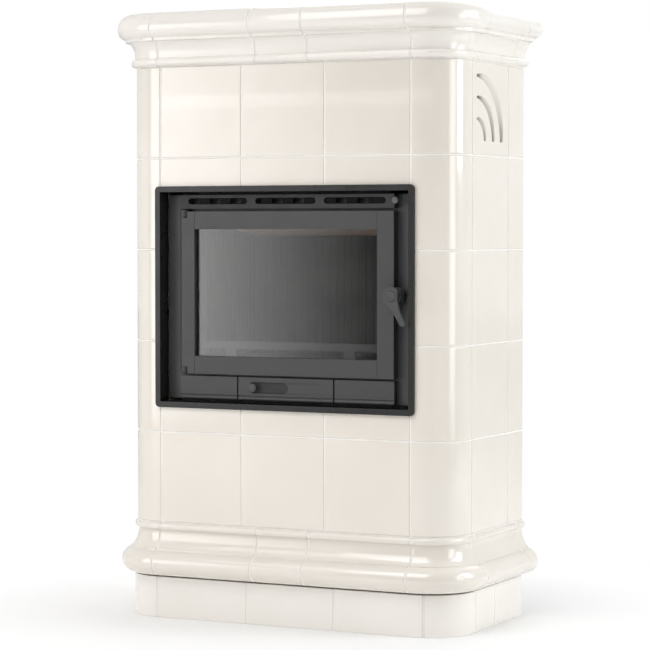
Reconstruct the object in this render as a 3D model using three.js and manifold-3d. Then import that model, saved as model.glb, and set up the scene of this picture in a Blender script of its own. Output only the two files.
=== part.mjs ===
// A tiled stove: a casing of glazed ceramic tiles round a steel fireplace insert.
// Millimetres, +Z up, X to the right, Y into the depth. The pieces are first placed in
// the casing's frame, where the front tiles' faces lie at Y = 0 and the floor at Z = 0.

import * as THREE from 'three';
import { mergeVertices } from 'three/addons/utils/BufferGeometryUtils.js';
import Module from 'manifold-3d';

const wasm = await Module();
wasm.setup();

// ---------------------------------------------------------------- driving dimensions

const GAP = 0.3; // clearance between seated pieces
const RUN = 0.4; // radial running clearance of a pin in its bore

// Tile casing
const TILE = 220; // pitch of the tiles, both ways
const COLUMNS = 3; // whole tiles across the front
const ROWS = 5; // courses between the two mouldings
const CORNER_LEG = 108; // a corner tile's reach along the front and along the side
const CORNER_R = 98; // radius of the rounded corners
const REAR_TILE = 100; // the narrow tile at the rear of each side
const TILE_FACE = 12; // thickness of a tile's face
const TILE_DEPTH = 45; // depth of its rim, which makes it a tray
const TILE_RIM = 9; // thickness of the rim
const TILE_JOINT = 0.6; // gap between neighbouring tiles
const TILE_EDGE = 1.6; // bevel round a tile's face
const CORNER_STEPS = 6; // facets round a corner

// Plinth and mouldings, heights and reaches beyond the tiles
const PLINTH_H = 100;
const PLINTH_OUT = 7;
const PLINTH_WALL = 18;
const PLINTH_SHORT = 23; // how far the plinth stops short of the rear
const PLINTH_JOINTS = [-338, -94, 137, 364];
const PLINTH_SIDE_JOINTS = [116, 232];
const BASE_H = 130;
const BASE_OUT = 39.5; // reach of the base's torus
const TORUS = { in: 31.5, up: 33, half: 31 }; // its depth, its middle's height, its half height
const BASE_STEP = { out: 15.5, up: 66 };
const BASE_COVE = { out: -2, up: 104, bend: 80 };
const BASE_BEAD = { out: 6.5, half: 8.7 };
const BASE_JOINT_X = 68;
const BASE_SIDE_JOINTS = [116, 378];
const CROWN_H = 128;
const CROWN_OUT = 46.5; // reach of the crown's bullnose
const CROWN_BEAD = { out: 14, reach: 10, half: 9.5 };
const CROWN_COVE = { from: 24, out: 18, up: 60, bend: 50 };
const CROWN_FILLET = { out: 27.5, h: 8 };
const NOSE = { up: 92, below: 19.5, above: 31.5, drop: 23 }; // its middle, depths, lower half
const CROWN_JOINT_X = 69;
const CROWN_SIDE_JOINTS = [106, 354];
const MOULD_END_X = 334; // where the front mouldings meet the corner pieces
const MOULD_WALL = 18; // thickness of a moulding's shell
const MOULD_STEPS = 4; // facets of each curve in a moulding's section
const LEDGE_IN = 28; // inner edge of the crown's top face
const LEDGE_W = 12; // width of the ledge that carries the top slab
const SLAB_T = 12;

// Vents: three curved slots in the upper side tile
const VENT_RADII = [50, 100, 150];
const VENT_WIDTHS = [12, 15, 17];
const VENT_FLARES = [5, 6, 14]; // how far each slot's outer wall leans back, at its middle
const VENT_IN = 25; // arcs' centre from the tile's front edge
const VENT_UP = 35; // arcs' centre from the tile's lower edge
const VENT_BEVEL = 3;
const VENT_STEPS = 8;

// Insert: trim frame, which goes round the front plate
const TRIM_SIDE = 3; // gap between the front plate's sides and the frame's opening
const TRIM_ENDS = 7; // gap above and below the front plate
const TRIM_FACE = 14;
const TRIM_WALL = 2;
const TRIM_PROUD = 8; // how far the trim stands in front of the tiles
const TRIM_BACK = 33; // depth of its inner wall behind the tiles' faces
const TRIM_CORNER_R = 10;
const TRIM_Z = 776; // height of the insert's centre

// Insert: front plate, bar and covers
const PLATE_Y = 31; // front of the front plate, behind the tiles' faces
const PLATE_T = 3;
const PLATE_W = 650;
const PLATE_H = 490;
const MOUTH_W = 480;
const MOUTH_BOTTOM = 628;
const MOUTH_TOP = 948;
const FRONT_Y = 14; // front of the bar, the covers and the drawer
const FRONT_W = 567;
const SHEET = 2.5;
const FRONT_T = 4; // thickness of the covers' and the drawer's face
const BAR_H = 33;
const AIR_SLOT = { length: 160, height: 15, pitch: 181.5, up: 18 };
const COVER_H = 56.5;
const COVER_GAP = 3.5; // gap between the covers and the drawer's front
const LIP_R = 5;
const LIP_GROOVE = 2;
const LIP_PROUD = 1;

// Insert: ash drawer and primary air slide
const DRAWER_FRONT_W = 251.6;
const TRAY_W = 226;
const TRAY_LENGTH = 276;
const TRAY_H = 45;
const TRAY_WALL = 2;
const TRAVEL_SLOT = { left: -97, right: 6, height: 26.6 };
const TRACK_RIGHT = 92; // right end of the shallow track beyond the slot
const TRACK_DEPTH = 2.5;
const SLOT_UP = 31.5; // slot's centre above the drawer front's lower edge
const SLIDE_T = 2;
const SLIDE_OVER = 4; // how far the slide's plate reaches past the slot
const KNOB_R = 10.5;
const KNOB_STEM_R = 4;

// Insert: secondary air slide in the bar
const COMB_T = 2;
const COMB_PITCH = 56;
const COMB_TRAVEL = 20;
const BAR_KNOB_R = 8;

// Insert: firebox
const SHELL_WALL = 4;
const HOOD_TOP = 1120; // the shell's hood, set back behind the tiles
const HOOD_FRONT = 52;
const SHELL_REAR = 325.5;
const LINING_T = 25;
const CHAMBER_W = 456; // between the side linings
const CHAMBER_REAR = 296; // face of the rear lining
const FLUTE_PITCH = 20;
const FLUTE_DEPTH = 2.5;
const HEARTH_T = 25;
const GRATE_W = 200;
const GRATE_FRONT = 110;
const GRATE_REAR = 250;
const GRATE_T = 12;
const GRATE_LEDGE = 8;
const GRATE_BARS = 9;
const BAFFLE_T = 25;
const BAFFLE_FRONT = 120;
const BAFFLE_LOW = 925; // underside of the baffle where it meets the rear lining
const BAFFLE_SLOPE = 0.126; // rise towards the front
const FLUE_R = 75;
const FLUE_WALL = 3.5;
const FLUE_Z = 1040;
const FLUE_SIDES = 24;
const GUARD_Y = 36;
const GUARD_T = 5;
const GUARD_H = 43;
const GUARD_BAR_H = 19;
const GUARD_POST_X = 158;
const GUARD_POST_W = 29;

// Insert: door
const DOOR_RIGHT = 284.5;
const DOOR_UNDER = 6.5; // door's top below the bar
const DOOR_OVER = 5; // door's foot above the covers
const DOOR_Y = 8; // front of the door
const DOOR_T = 20;
const STILE = 42.5; // width of the door's stiles and rails
const SEAM = 0.8; // depth of the lines between stiles and rails
const GLASS_T = 4;
const GLASS_LAP = 9;
const GLASS_LIP = 11; // thickness of the frame in front of the glass
const ROPE_W = 8.4;
const ROPE_IN = 13.8; // from the window to the rope's groove
const HINGE_R = 10.5; // radius of the hinge barrel
const HINGE_X = -274;
const PIN_R = 4;
const PIN_DEPTH = 26; // pin's reach into the door
const LUG_TOP_OVER = 3.5; // upper lug's top above the door's
const LUG_TOP_H = 16.5;
const LUG_BOTTOM_IN = 1.5; // lower lug's foot above the door's
const LUG_BOTTOM_H = 14.5;

// Insert: door handle and latch
const HUB_OUT = 5.5; // handle's axis beyond the door's edge
const HUB_DOWN = 2; // and below the door's middle
const EAR_R = 20;
const EAR_T = 13;
const HEAD_R = 21.5;
const HEAD_T = 10;
const BOSS_R = 14;
const LEVER_DX = 28; // lever's end from the hub
const LEVER_DZ = -63.5;
const LEVER_T = 8;
const LEVER_Y = -20; // front of the lever
const LEVER_END_R = 6.5;
const SPINDLE_R = 5;
const COLLAR_R = 8.5;
const TONGUE_REACH = 28;
const TONGUE_W = 10;
const TONGUE_T = 5;
const TONGUE_ANGLE = 20; // degrees above level at rest
const KEEPER_X = 312.5;
const KEEPER_T = 4;

// Casing: stand and rear
const STAND_W = 600;
const STAND_TUBE = 25;
const STAND_FRONT = 47;
const STAND_RAIL_Z = 120;
const FOOT = 50;
const FOOT_T = 5;
const REAR_SHEET = 2;
const REAR_FLANGE = 15;
const REAR_BOTTOM = 20;
const REAR_HOLE_R = 82;
const INLET = { count: 6, pitch: 110, length: 80, height: 12, z: 150 };

// ---------------------------------------------------------------- derived dimensions

const halfWidth = (COLUMNS * TILE) / 2 + CORNER_LEG;
const bodyDepth = CORNER_LEG + TILE + REAR_TILE;
const baseZ = PLINTH_H;
const rowsZ = baseZ + BASE_H;
const crownZ = rowsZ + ROWS * TILE;
const topZ = crownZ + CROWN_H;
const arcX = halfWidth - CORNER_R;
const arcLength = (CORNER_R * Math.PI) / 2;
const centreY = (bodyDepth - CROWN_OUT) / 2;
const joint = TILE_JOINT / 2;

const trimX = PLATE_W / 2 + TRIM_SIDE + TRIM_FACE;
const trimBottom = TRIM_Z - PLATE_H / 2 - TRIM_ENDS - TRIM_FACE;
const trimTop = TRIM_Z + PLATE_H / 2 + TRIM_ENDS + TRIM_FACE;
const sleeveX = trimX - TRIM_FACE + TRIM_WALL;
const sleeveBottom = trimBottom + TRIM_FACE - TRIM_WALL;
const sleeveTop = trimTop - TRIM_FACE + TRIM_WALL;
const plateBack = PLATE_Y + PLATE_T;
const channelBack = PLATE_Y - GAP;
const shellFront = plateBack + GAP;
const plateBottom = TRIM_Z - PLATE_H / 2;
const plateTop = TRIM_Z + PLATE_H / 2;
const doorBottom = plateBottom + COVER_H + DOOR_OVER;
const doorTop = plateTop - BAR_H - DOOR_UNDER;
const lugTop = doorTop + LUG_TOP_OVER;
const lugBottom = doorBottom + LUG_BOTTOM_IN;
const hubX = DOOR_RIGHT + HUB_OUT;
const hubZ = (doorBottom + doorTop) / 2 - HUB_DOWN;
const shellX = CHAMBER_W / 2 + LINING_T + GAP + SHELL_WALL;
const floorZ = MOUTH_BOTTOM - HEARTH_T - GAP; // top of the shell's partition
const drawerOpening = { x: TRAY_W / 2 + 3, top: plateBottom + 53 };
const shellBottom = plateBottom + 1;
const trayBottom = shellBottom + SHELL_WALL + GAP;
const airSlotZ = plateTop - AIR_SLOT.up + AIR_SLOT.height / 5;
const slotZ = plateBottom + SLOT_UP;
const knobX = TRAVEL_SLOT.left + TRAVEL_SLOT.height / 2;
const slideY = FRONT_Y + FRONT_T + GAP; // front of the primary air slide's plate
const slideHalf = TRAVEL_SLOT.height / 2 + SLIDE_OVER;
const windowX = DOOR_RIGHT - STILE;
const windowBottom = doorBottom + STILE;
const windowTop = doorTop - STILE;
const hingeY = DOOR_Y + HINGE_R;
const doorBack = DOOR_Y + DOOR_T;

// ---------------------------------------------------------------- solids

function signedVolume(position, index) {
  const [a, b, c] = [new THREE.Vector3(), new THREE.Vector3(), new THREE.Vector3()];
  let sum = 0;
  for (let i = 0; i < index.length; i += 3) {
    a.fromBufferAttribute(position, index[i]);
    b.fromBufferAttribute(position, index[i + 1]);
    c.fromBufferAttribute(position, index[i + 2]);
    sum += a.dot(b.cross(c)) / 6;
  }
  return sum;
}

// A closed three.js geometry as a solid whose faces point out.
function solid(geometry) {
  const bare = geometry.clone();
  bare.deleteAttribute('normal');
  bare.deleteAttribute('uv');
  const merged = mergeVertices(bare, 1e-4);
  const position = merged.attributes.position;
  const index = [];
  for (let i = 0; i < merged.index.count; i += 3) {
    const [a, b, c] = [0, 1, 2].map((k) => merged.index.getX(i + k));
    if (a !== b && b !== c && c !== a) index.push(a, b, c);
  }
  if (signedVolume(position, index) < 0) index.reverse();
  return new wasm.Manifold(new wasm.Mesh({
    numProp: 3,
    vertProperties: new Float32Array(position.array),
    triVerts: new Uint32Array(index),
  }));
}

function geometryOf(body) {
  const mesh = body.getMesh();
  const geometry = new THREE.BufferGeometry();
  geometry.setAttribute('position', new THREE.BufferAttribute(mesh.vertProperties, 3));
  geometry.setIndex(new THREE.BufferAttribute(mesh.triVerts, 1));
  return geometry;
}

function mirrored(body) {
  return solid(geometryOf(body).scale(-1, 1, 1));
}

function join(...bodies) {
  return bodies.reduce((sum, body) => sum.add(body));
}

function cut(body, ...tools) {
  return tools.reduce((rest, tool) => rest.subtract(tool), body);
}

function box([x0, x1], [y0, y1], [z0, z1]) {
  const geometry = new THREE.BoxGeometry(x1 - x0, y1 - y0, z1 - z0);
  return solid(geometry.translate((x0 + x1) / 2, (y0 + y1) / 2, (z0 + z1) / 2));
}

const DIRECTIONS = {
  x: [[0, 1, 0], [0, 0, 1], [1, 0, 0]],
  y: [[0, 0, 1], [1, 0, 0], [0, 1, 0]],
  z: [[1, 0, 0], [0, 1, 0], [0, 0, 1]],
};

// Turns a geometry drawn in XY and standing along Z so that it stands along an axis.
// Along x it is drawn in YZ, along y in ZX and along z in XY.
function standAlong(geometry, axis) {
  const columns = DIRECTIONS[axis].map((v) => new THREE.Vector3(...v));
  return geometry.applyMatrix4(new THREE.Matrix4().makeBasis(...columns));
}

// An arc in the shape gets as many facets as arcSteps, which is even.
function extruded(shape, axis, from, to, arcSteps = 12) {
  const options = { depth: to - from, bevelEnabled: false, curveSegments: arcSteps / 2 };
  const geometry = new THREE.ExtrudeGeometry(shape, options).translate(0, 0, from);
  return solid(standAlong(geometry, axis));
}

// A round bar along an axis; at gives its centre in the axis's drawing plane.
function rod(axis, radius, from, to, at, sides = 12, endRadius = radius) {
  const geometry = new THREE.CylinderGeometry(endRadius, radius, to - from, sides);
  geometry.rotateX(Math.PI / 2).translate(at[0], at[1], (from + to) / 2);
  return solid(standAlong(geometry, axis));
}

function roundedRect(u0, v0, u1, v1, r) {
  const shape = new THREE.Shape();
  shape.absarc(u1 - r, v0 + r, r, -Math.PI / 2, 0);
  shape.absarc(u1 - r, v1 - r, r, 0, Math.PI / 2);
  shape.absarc(u0 + r, v1 - r, r, Math.PI / 2, Math.PI);
  shape.absarc(u0 + r, v0 + r, r, Math.PI, Math.PI * 1.5);
  return shape;
}

// An upright panel in XZ between two depths, drawn with x and z limits.
function panel([x0, x1], [y0, y1], [z0, z1], r = 0) {
  if (!r) return box([x0, x1], [y0, y1], [z0, z1]);
  return extruded(roundedRect(z0, x0, z1, x1, r), 'y', y0, y1, 4);
}

// Equal closed rings of points joined by quads; flat is a ring drawn in its own plane.
function skin(rings, flat) {
  if (THREE.ShapeUtils.isClockWise(flat)) {
    return skin(rings.map((ring) => ring.toReversed()), flat.toReversed());
  }
  const n = rings[0].length;
  const index = [];
  for (let k = 0; k + 1 < rings.length; k += 1) {
    for (let i = 0; i < n; i += 1) {
      const j = (i + 1) % n;
      const [a, b, c, d] = [k * n + i, k * n + j, (k + 1) * n + j, (k + 1) * n + i];
      index.push(a, b, c, a, c, d);
    }
  }
  const last = (rings.length - 1) * n;
  for (const [a, b, c] of THREE.ShapeUtils.triangulateShape(flat, [])) {
    index.push(c, b, a, last + a, last + b, last + c);
  }
  const geometry = new THREE.BufferGeometry().setFromPoints(rings.flat());
  return solid(geometry.setIndex(index));
}

// ---------------------------------------------------------------- the casing's plan line

// The line that the tiles' faces follow in plan, by its length from the front's middle:
// straight across the front, round the corner and back along the side.
const alongFront = (x) => x;
const alongSide = (y) => arcX + arcLength + (y - CORNER_R);

function planPoint(length) {
  const s = Math.abs(length);
  const side = Math.sign(length) || 1;
  if (s <= arcX) return { x: length, y: 0, nx: 0, ny: -1 };
  if (s >= arcX + arcLength) {
    return { x: side * halfWidth, y: s - arcX - arcLength + CORNER_R, nx: side, ny: 0 };
  }
  const angle = (s - arcX) / CORNER_R;
  const [nx, ny] = [Math.sin(angle), -Math.cos(angle)];
  return { x: side * (arcX + CORNER_R * nx), y: CORNER_R + CORNER_R * ny, nx: side * nx, ny };
}

// A section of (offset, height) points swept along the plan line. Its ends are bevelled
// by edge, and each joint in between is a groove of the same depth.
function swept(section, from, to, { edge = 0, joints = [], steps = CORNER_STEPS } = {}) {
  const drops = new Map([[from, edge], [to, edge]]);
  if (edge) {
    drops.set(from + edge, 0);
    drops.set(to - edge, 0);
    for (const s of joints) {
      drops.set(s - edge, 0);
      drops.set(s, edge);
      drops.set(s + edge, 0);
    }
  }
  for (const side of [-1, 1]) {
    for (let i = 0; i <= steps; i += 1) {
      const s = side * (arcX + (arcLength * i) / steps);
      const near = [...drops.keys()].some((t) => Math.abs(t - s) < edge + 1);
      if (s > from && s < to && !near) drops.set(s, 0);
    }
  }
  const stations = [...drops.entries()].sort((a, b) => a[0] - b[0]);
  const rings = stations.map(([s, drop]) => {
    const { x, y, nx, ny } = planPoint(s);
    return section.map((point) => {
      const o = point.x > -TILE_DEPTH / 2 ? point.x - drop : point.x;
      return new THREE.Vector3(x + nx * o, y + ny * o, point.y);
    });
  });
  return skin(rings, section);
}

// ---------------------------------------------------------------- tiles

const v2 = (u, v) => new THREE.Vector2(u, v);

// A tile is a glazed tray: a face with a deep rim behind it.
function tile(from, to, bottom, top, joints = []) {
  const [z0, z1] = [bottom + joint, top - joint];
  const section = [
    v2(-TILE_DEPTH, z0), v2(-TILE_EDGE, z0), v2(0, z0 + TILE_EDGE),
    v2(0, z1 - TILE_EDGE), v2(-TILE_EDGE, z1), v2(-TILE_DEPTH, z1),
  ];
  const [s0, s1] = [from + joint, to - joint];
  let body = swept(section, s0, s1, { edge: TILE_EDGE, joints });
  const stops = [s0, ...joints, s1];
  for (let i = 0; i + 1 < stops.length; i += 1) {
    body = cut(body, tray(stops[i] + TILE_RIM, stops[i + 1] - TILE_RIM, z0, z1));
  }
  return body;
}

function tray(from, to, z0, z1) {
  const [deep, low, high] = [-TILE_DEPTH - 1, z0 + TILE_RIM, z1 - TILE_RIM];
  const section = [v2(deep, low), v2(-TILE_FACE, low), v2(-TILE_FACE, high), v2(deep, high)];
  return swept(section, from, to, { steps: CORNER_STEPS / 2 });
}

const rowBottom = (row) => crownZ - row * TILE; // row 1 is the upper one
const rowTop = (row) => rowBottom(row) + TILE;

// The front tiles; those above and below the insert are cut back to its sleeve.
function frontTile(row, column) {
  const from = (column - COLUMNS / 2) * TILE;
  const clearTop = sleeveTop + joint;
  const clearBottom = sleeveBottom - joint;
  let [low, high] = [rowBottom(row), rowTop(row)];
  if (low < clearTop && high > clearTop) low = clearTop;
  if (high > clearBottom && low < clearBottom) high = clearBottom;
  return tile(from, from + TILE, low, high);
}

const cornerStart = alongFront((COLUMNS * TILE) / 2);
const sideStart = alongSide(CORNER_LEG);
const sideJoint = alongSide(CORNER_LEG + TILE);
const sideEnd = alongSide(bodyDepth) + joint;

function cornerTile(row) {
  return tile(cornerStart, sideStart, rowBottom(row), rowTop(row));
}

// The side's courses below the vent: whole and narrow tiles set in one wall.
function sideTiles() {
  const courses = [];
  for (let row = 2; row <= ROWS; row += 1) {
    courses.push(tile(sideStart, sideEnd, rowBottom(row), rowTop(row), [sideJoint]));
  }
  const [z0, z1] = [rowsZ + TILE, rowBottom(1)];
  const bed = [
    v2(-TILE_DEPTH, z0 - TILE_RIM), v2(-TILE_FACE, z0 - TILE_RIM),
    v2(-TILE_FACE, z1 - TILE_RIM), v2(-TILE_DEPTH, z1 - TILE_RIM),
  ];
  const rim = sideStart + joint;
  return join(...courses, swept(bed, rim, rim + TILE_RIM));
}

// One vent slot: an arc that starts as a point above and widens on its way down.
function ventSlot(radius, width, lip, flare) {
  const [outer, inner] = [[], []];
  for (let i = 0; i <= VENT_STEPS; i += 1) {
    const t = i / VENT_STEPS;
    const angle = (Math.PI / 2) * (1 - t);
    const half = (width / 2) * Math.sin(Math.PI * (0.06 + 0.64 * t)) + lip;
    const direction = v2(Math.cos(angle), Math.sin(angle));
    outer.push(direction.clone().multiplyScalar(radius + half + flare * Math.sin(Math.PI * t)));
    inner.unshift(direction.clone().multiplyScalar(radius - half));
  }
  return [...outer, ...inner];
}

function ventTile() {
  const body = tile(sideStart, sideEnd, rowBottom(1), rowTop(1), [sideJoint]);
  const [y, z] = [CORNER_LEG + VENT_IN, rowBottom(1) + VENT_UP];
  const slots = VENT_RADII.map((radius, i) => {
    const depths = [[1, VENT_BEVEL + 1], [-VENT_BEVEL, 0], [-TILE_FACE - 1, 0]];
    const rings = depths.map(([x, lip]) => {
      const lean = (VENT_FLARES[i] * (x + TILE_FACE + 1)) / TILE_FACE;
      const outline = ventSlot(radius, VENT_WIDTHS[i], lip, lean);
      return outline.map((p) => new THREE.Vector3(halfWidth + x, y + p.x, z + p.y));
    });
    return skin(rings, ventSlot(radius, VENT_WIDTHS[i], 0, 0));
  });
  return cut(body, ...slots);
}

// ---------------------------------------------------------------- mouldings

function crownSection() {
  const [bead, cove, fillet, nose] = [CROWN_BEAD, CROWN_COVE, CROWN_FILLET, NOSE];
  const beadX = bead.out - bead.reach;
  const line = new THREE.Path();
  line.moveTo(cove.out - 2 * MOULD_WALL, joint);
  line.lineTo(0, joint);
  line.absellipse(beadX, joint + bead.half, bead.reach, bead.half, -Math.PI / 2, Math.PI / 2);
  line.lineTo(beadX, cove.from);
  line.quadraticCurveTo(beadX + 1, cove.bend, cove.out, cove.up);
  line.lineTo(fillet.out, cove.up + 1.5);
  line.lineTo(fillet.out, cove.up + fillet.h);
  line.absellipse(CROWN_OUT - nose.below, nose.up, nose.below, nose.drop, -Math.PI / 2, 0);
  line.absellipse(CROWN_OUT - nose.above, nose.up, nose.above, CROWN_H - nose.up, 0, Math.PI / 2);
  line.lineTo(-LEDGE_IN, CROWN_H);
  line.lineTo(-LEDGE_IN, CROWN_H - SLAB_T);
  line.lineTo(-LEDGE_IN - LEDGE_W, CROWN_H - SLAB_T);
  line.lineTo(-LEDGE_IN - LEDGE_W, CROWN_H - 2 * SLAB_T);
  line.lineTo(fillet.out - MOULD_WALL, CROWN_H - SLAB_T - 10);
  line.lineTo(fillet.out, nose.up + 2);
  line.lineTo(fillet.out - MOULD_WALL, nose.up - MOULD_WALL + 1);
  line.lineTo(beadX - MOULD_WALL + 2, cove.bend + 4);
  return lifted(line, crownZ);
}

function baseSection() {
  const [torus, step, cove, bead] = [TORUS, BASE_STEP, BASE_COVE, BASE_BEAD];
  const inner = BASE_OUT - MOULD_WALL - 1.5;
  const line = new THREE.Path();
  line.moveTo(PLINTH_OUT - MOULD_WALL + 1, joint);
  line.lineTo(PLINTH_OUT, joint);
  line.absellipse(BASE_OUT - torus.in, torus.up, torus.in, torus.half, -Math.PI / 2, 1.2);
  line.lineTo(step.out, step.up);
  line.quadraticCurveTo(0, cove.bend, cove.out, cove.up);
  line.absellipse(0, BASE_H - joint - bead.half, bead.out, bead.half, -Math.PI / 2, Math.PI / 2);
  line.lineTo(cove.out - 12, BASE_H - joint);
  line.lineTo(cove.out - 14, cove.bend + 4);
  line.lineTo(inner, torus.up + 13);
  line.lineTo(inner, torus.up - 13);
  line.lineTo(PLINTH_OUT - MOULD_WALL + 1, 12);
  return lifted(line, baseZ);
}

function plinthSection() {
  const [high, out] = [PLINTH_H - joint, PLINTH_OUT];
  return [
    v2(out - PLINTH_WALL, 0), v2(out, 0), v2(out, high - TILE_EDGE),
    v2(out - TILE_EDGE, high), v2(out - PLINTH_WALL, high),
  ];
}

// The path's points, each once, raised by z.
function lifted(path, z) {
  const points = path.curves.flatMap((curve) => {
    return curve.getPoints(curve.isLineCurve ? 1 : MOULD_STEPS).slice(1);
  });
  return [path.curves[0].v1, ...points].map((p) => v2(p.x, p.y + z));
}

function frontMould(section, jointX) {
  const end = alongFront(MOULD_END_X) - joint;
  return swept(section, -end, end, { edge: TILE_EDGE, joints: [-jointX, jointX] });
}

function sideMould(section, sideJoints) {
  const options = { edge: TILE_EDGE, joints: sideJoints.map(alongSide) };
  return swept(section, alongFront(MOULD_END_X) + joint, alongSide(bodyDepth), options);
}

function plinth() {
  const side = PLINTH_SIDE_JOINTS.map(alongSide);
  const end = alongSide(bodyDepth - PLINTH_SHORT);
  const joints = [...side.map((s) => -s), ...PLINTH_JOINTS.map(alongFront), ...side];
  return swept(plinthSection(), -end, end, { edge: TILE_EDGE, joints });
}

// The slab lies on the crown's ledge and on the rear panel's upper flange.
function topSlab() {
  const inset = LEDGE_IN + GAP;
  const [x, r] = [halfWidth - inset, CORNER_R - inset];
  const shape = new THREE.Shape();
  shape.moveTo(x, bodyDepth);
  shape.lineTo(-x, bodyDepth);
  shape.absarc(-x + r, inset + r, r, Math.PI, Math.PI * 1.5);
  shape.absarc(x - r, inset + r, r, Math.PI * 1.5, Math.PI * 2);
  return extruded(shape, 'z', topZ - SLAB_T + GAP, topZ, CORNER_STEPS);
}

// ---------------------------------------------------------------- stand and rear panel

function stand() {
  const outer = STAND_W / 2;
  const inner = outer - STAND_TUBE;
  const top = shellBottom - GAP;
  const rear = bodyDepth - REAR_SHEET - GAP;
  const rearIn = rear - STAND_TUBE;
  const frontIn = STAND_FRONT + STAND_TUBE;
  const bearer = [SHELL_REAR - STAND_TUBE, SHELL_REAR];
  const pieces = [];
  for (const side of [-1, 1]) {
    const xs = side < 0 ? [-outer, -inner] : [inner, outer];
    const footX = side < 0 ? [-outer, -outer + FOOT] : [outer - FOOT, outer];
    pieces.push(box(xs, [STAND_FRONT, frontIn], [0, top]));
    pieces.push(box(xs, [rearIn, rear], [0, top]));
    pieces.push(box(footX, [STAND_FRONT, STAND_FRONT + FOOT], [0, FOOT_T]));
    pieces.push(box(footX, [rear - FOOT, rear], [0, FOOT_T]));
    pieces.push(box(xs, [frontIn, rearIn], [top - STAND_TUBE, top]));
    pieces.push(box(xs, [frontIn, rearIn], [STAND_RAIL_Z, STAND_RAIL_Z + STAND_TUBE]));
  }
  const across = [-inner, inner];
  pieces.push(box(across, [STAND_FRONT, frontIn], [top - STAND_TUBE, top]));
  pieces.push(box(across, bearer, [top - STAND_TUBE, top]));
  pieces.push(box(across, [rearIn, rear], [top - STAND_TUBE, top]));
  pieces.push(box(across, [rearIn, rear], [STAND_RAIL_Z, STAND_RAIL_Z + STAND_TUBE]));
  return join(...pieces);
}

function rearPanel() {
  const x = halfWidth - TILE_DEPTH - GAP - TILE_JOINT;
  const high = topZ - SLAB_T;
  const [inside, front] = [bodyDepth - REAR_SHEET, bodyDepth - REAR_FLANGE];
  const sheet = box([-x, x], [front, bodyDepth], [REAR_BOTTOM, high]);
  const hollow = box([-x + REAR_SHEET, x - REAR_SHEET], [front - 1, inside],
    [REAR_BOTTOM - 1, high - REAR_SHEET]);
  const hole = rod('y', REAR_HOLE_R, inside - 1, bodyDepth + 1, [FLUE_Z, 0], FLUE_SIDES);
  const inlets = Array.from({ length: INLET.count }, (_, i) => {
    const at = (i - (INLET.count - 1) / 2) * INLET.pitch;
    return box([at - INLET.length / 2, at + INLET.length / 2], [inside - 1, bodyDepth + 1],
      [INLET.z, INLET.z + INLET.height]);
  });
  return cut(sheet, hollow, hole, ...inlets);
}

// ---------------------------------------------------------------- insert: frame and plate

// A pressed frame whose folded rim lies on the tiles and whose sleeve lines the opening.
function trimFrame() {
  const [x, z0, z1] = [trimX, trimBottom, trimTop];
  const flat = panel([-x, x], [-TRIM_PROUD, -GAP], [z0, z1], TRIM_CORNER_R);
  const rimX = x - TRIM_WALL;
  const back = [-TRIM_PROUD + TRIM_WALL, 0];
  const rimZ = [z0 + TRIM_WALL, z1 - TRIM_WALL];
  const hollow = cut(
    panel([-rimX, rimX], back, rimZ, TRIM_CORNER_R - TRIM_WALL),
    box([-sleeveX, sleeveX], [-TRIM_PROUD, 1], [sleeveBottom, sleeveTop]),
  );
  const sleeve = box([-sleeveX, sleeveX], [-TRIM_PROUD / 2, TRIM_BACK], [sleeveBottom, sleeveTop]);
  const inner = sleeveX - TRIM_WALL;
  const opening = box([-inner, inner], [-TRIM_PROUD - 1, TRIM_BACK + 1],
    [sleeveBottom + TRIM_WALL, sleeveTop - TRIM_WALL]);
  return cut(join(cut(flat, hollow), sleeve), opening);
}

// A hinge lug: a half-round barrel on a foot that runs back to the front plate.
function lug(bottom, height) {
  const shape = new THREE.Shape();
  shape.moveTo(HINGE_X + HINGE_R, PLATE_Y + 1);
  shape.lineTo(HINGE_X - HINGE_R, PLATE_Y + 1);
  shape.lineTo(HINGE_X - HINGE_R, hingeY);
  shape.absarc(HINGE_X, hingeY, HINGE_R, Math.PI, Math.PI * 2);
  const bore = rod('z', PIN_R + GAP, bottom - 1, bottom + height + 1, [HINGE_X, hingeY]);
  return cut(extruded(shape, 'z', bottom, bottom + height), bore);
}

// The keeper's lip stands in front of the tongue's path once the lever hangs straight.
function keeper() {
  const outer = PLATE_W / 2;
  const lip = tongueFront() - GAP - 2;
  const z = [hubZ - 18, hubZ - 1];
  const post = box([outer - KEEPER_T, outer], [lip - KEEPER_T, PLATE_Y + 1], z);
  return join(post, box([KEEPER_X, outer], [lip - KEEPER_T, lip], z));
}

// The three slots of the air bar; round ones in its face, plain ones behind it.
function airSlots(y0, y1, r = 0) {
  return [-1, 0, 1].map((side) => {
    const x = [-1, 1].map((end) => side * AIR_SLOT.pitch + (end * AIR_SLOT.length) / 2);
    const z = [-1, 1].map((end) => airSlotZ + (end * AIR_SLOT.height) / 2);
    return panel(x, [y0, y1], z, r);
  });
}

function frontPlate() {
  const x = PLATE_W / 2;
  const thick = [PLATE_Y, plateBack];
  const through = [PLATE_Y - 1, plateBack + 1];
  const plate = box([-x, x], thick, [plateBottom, plateTop]);
  const mouth = box([-MOUTH_W / 2, MOUTH_W / 2], through, [MOUTH_BOTTOM, MOUTH_TOP]);
  const drawer = box([-drawerOpening.x, drawerOpening.x], through,
    [plateBottom + 4, drawerOpening.top]);
  const openings = [mouth, drawer, ...airSlots(...through)];
  return join(cut(plate, ...openings), lug(lugTop - LUG_TOP_H, LUG_TOP_H),
    lug(lugBottom, LUG_BOTTOM_H), keeper());
}

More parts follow.
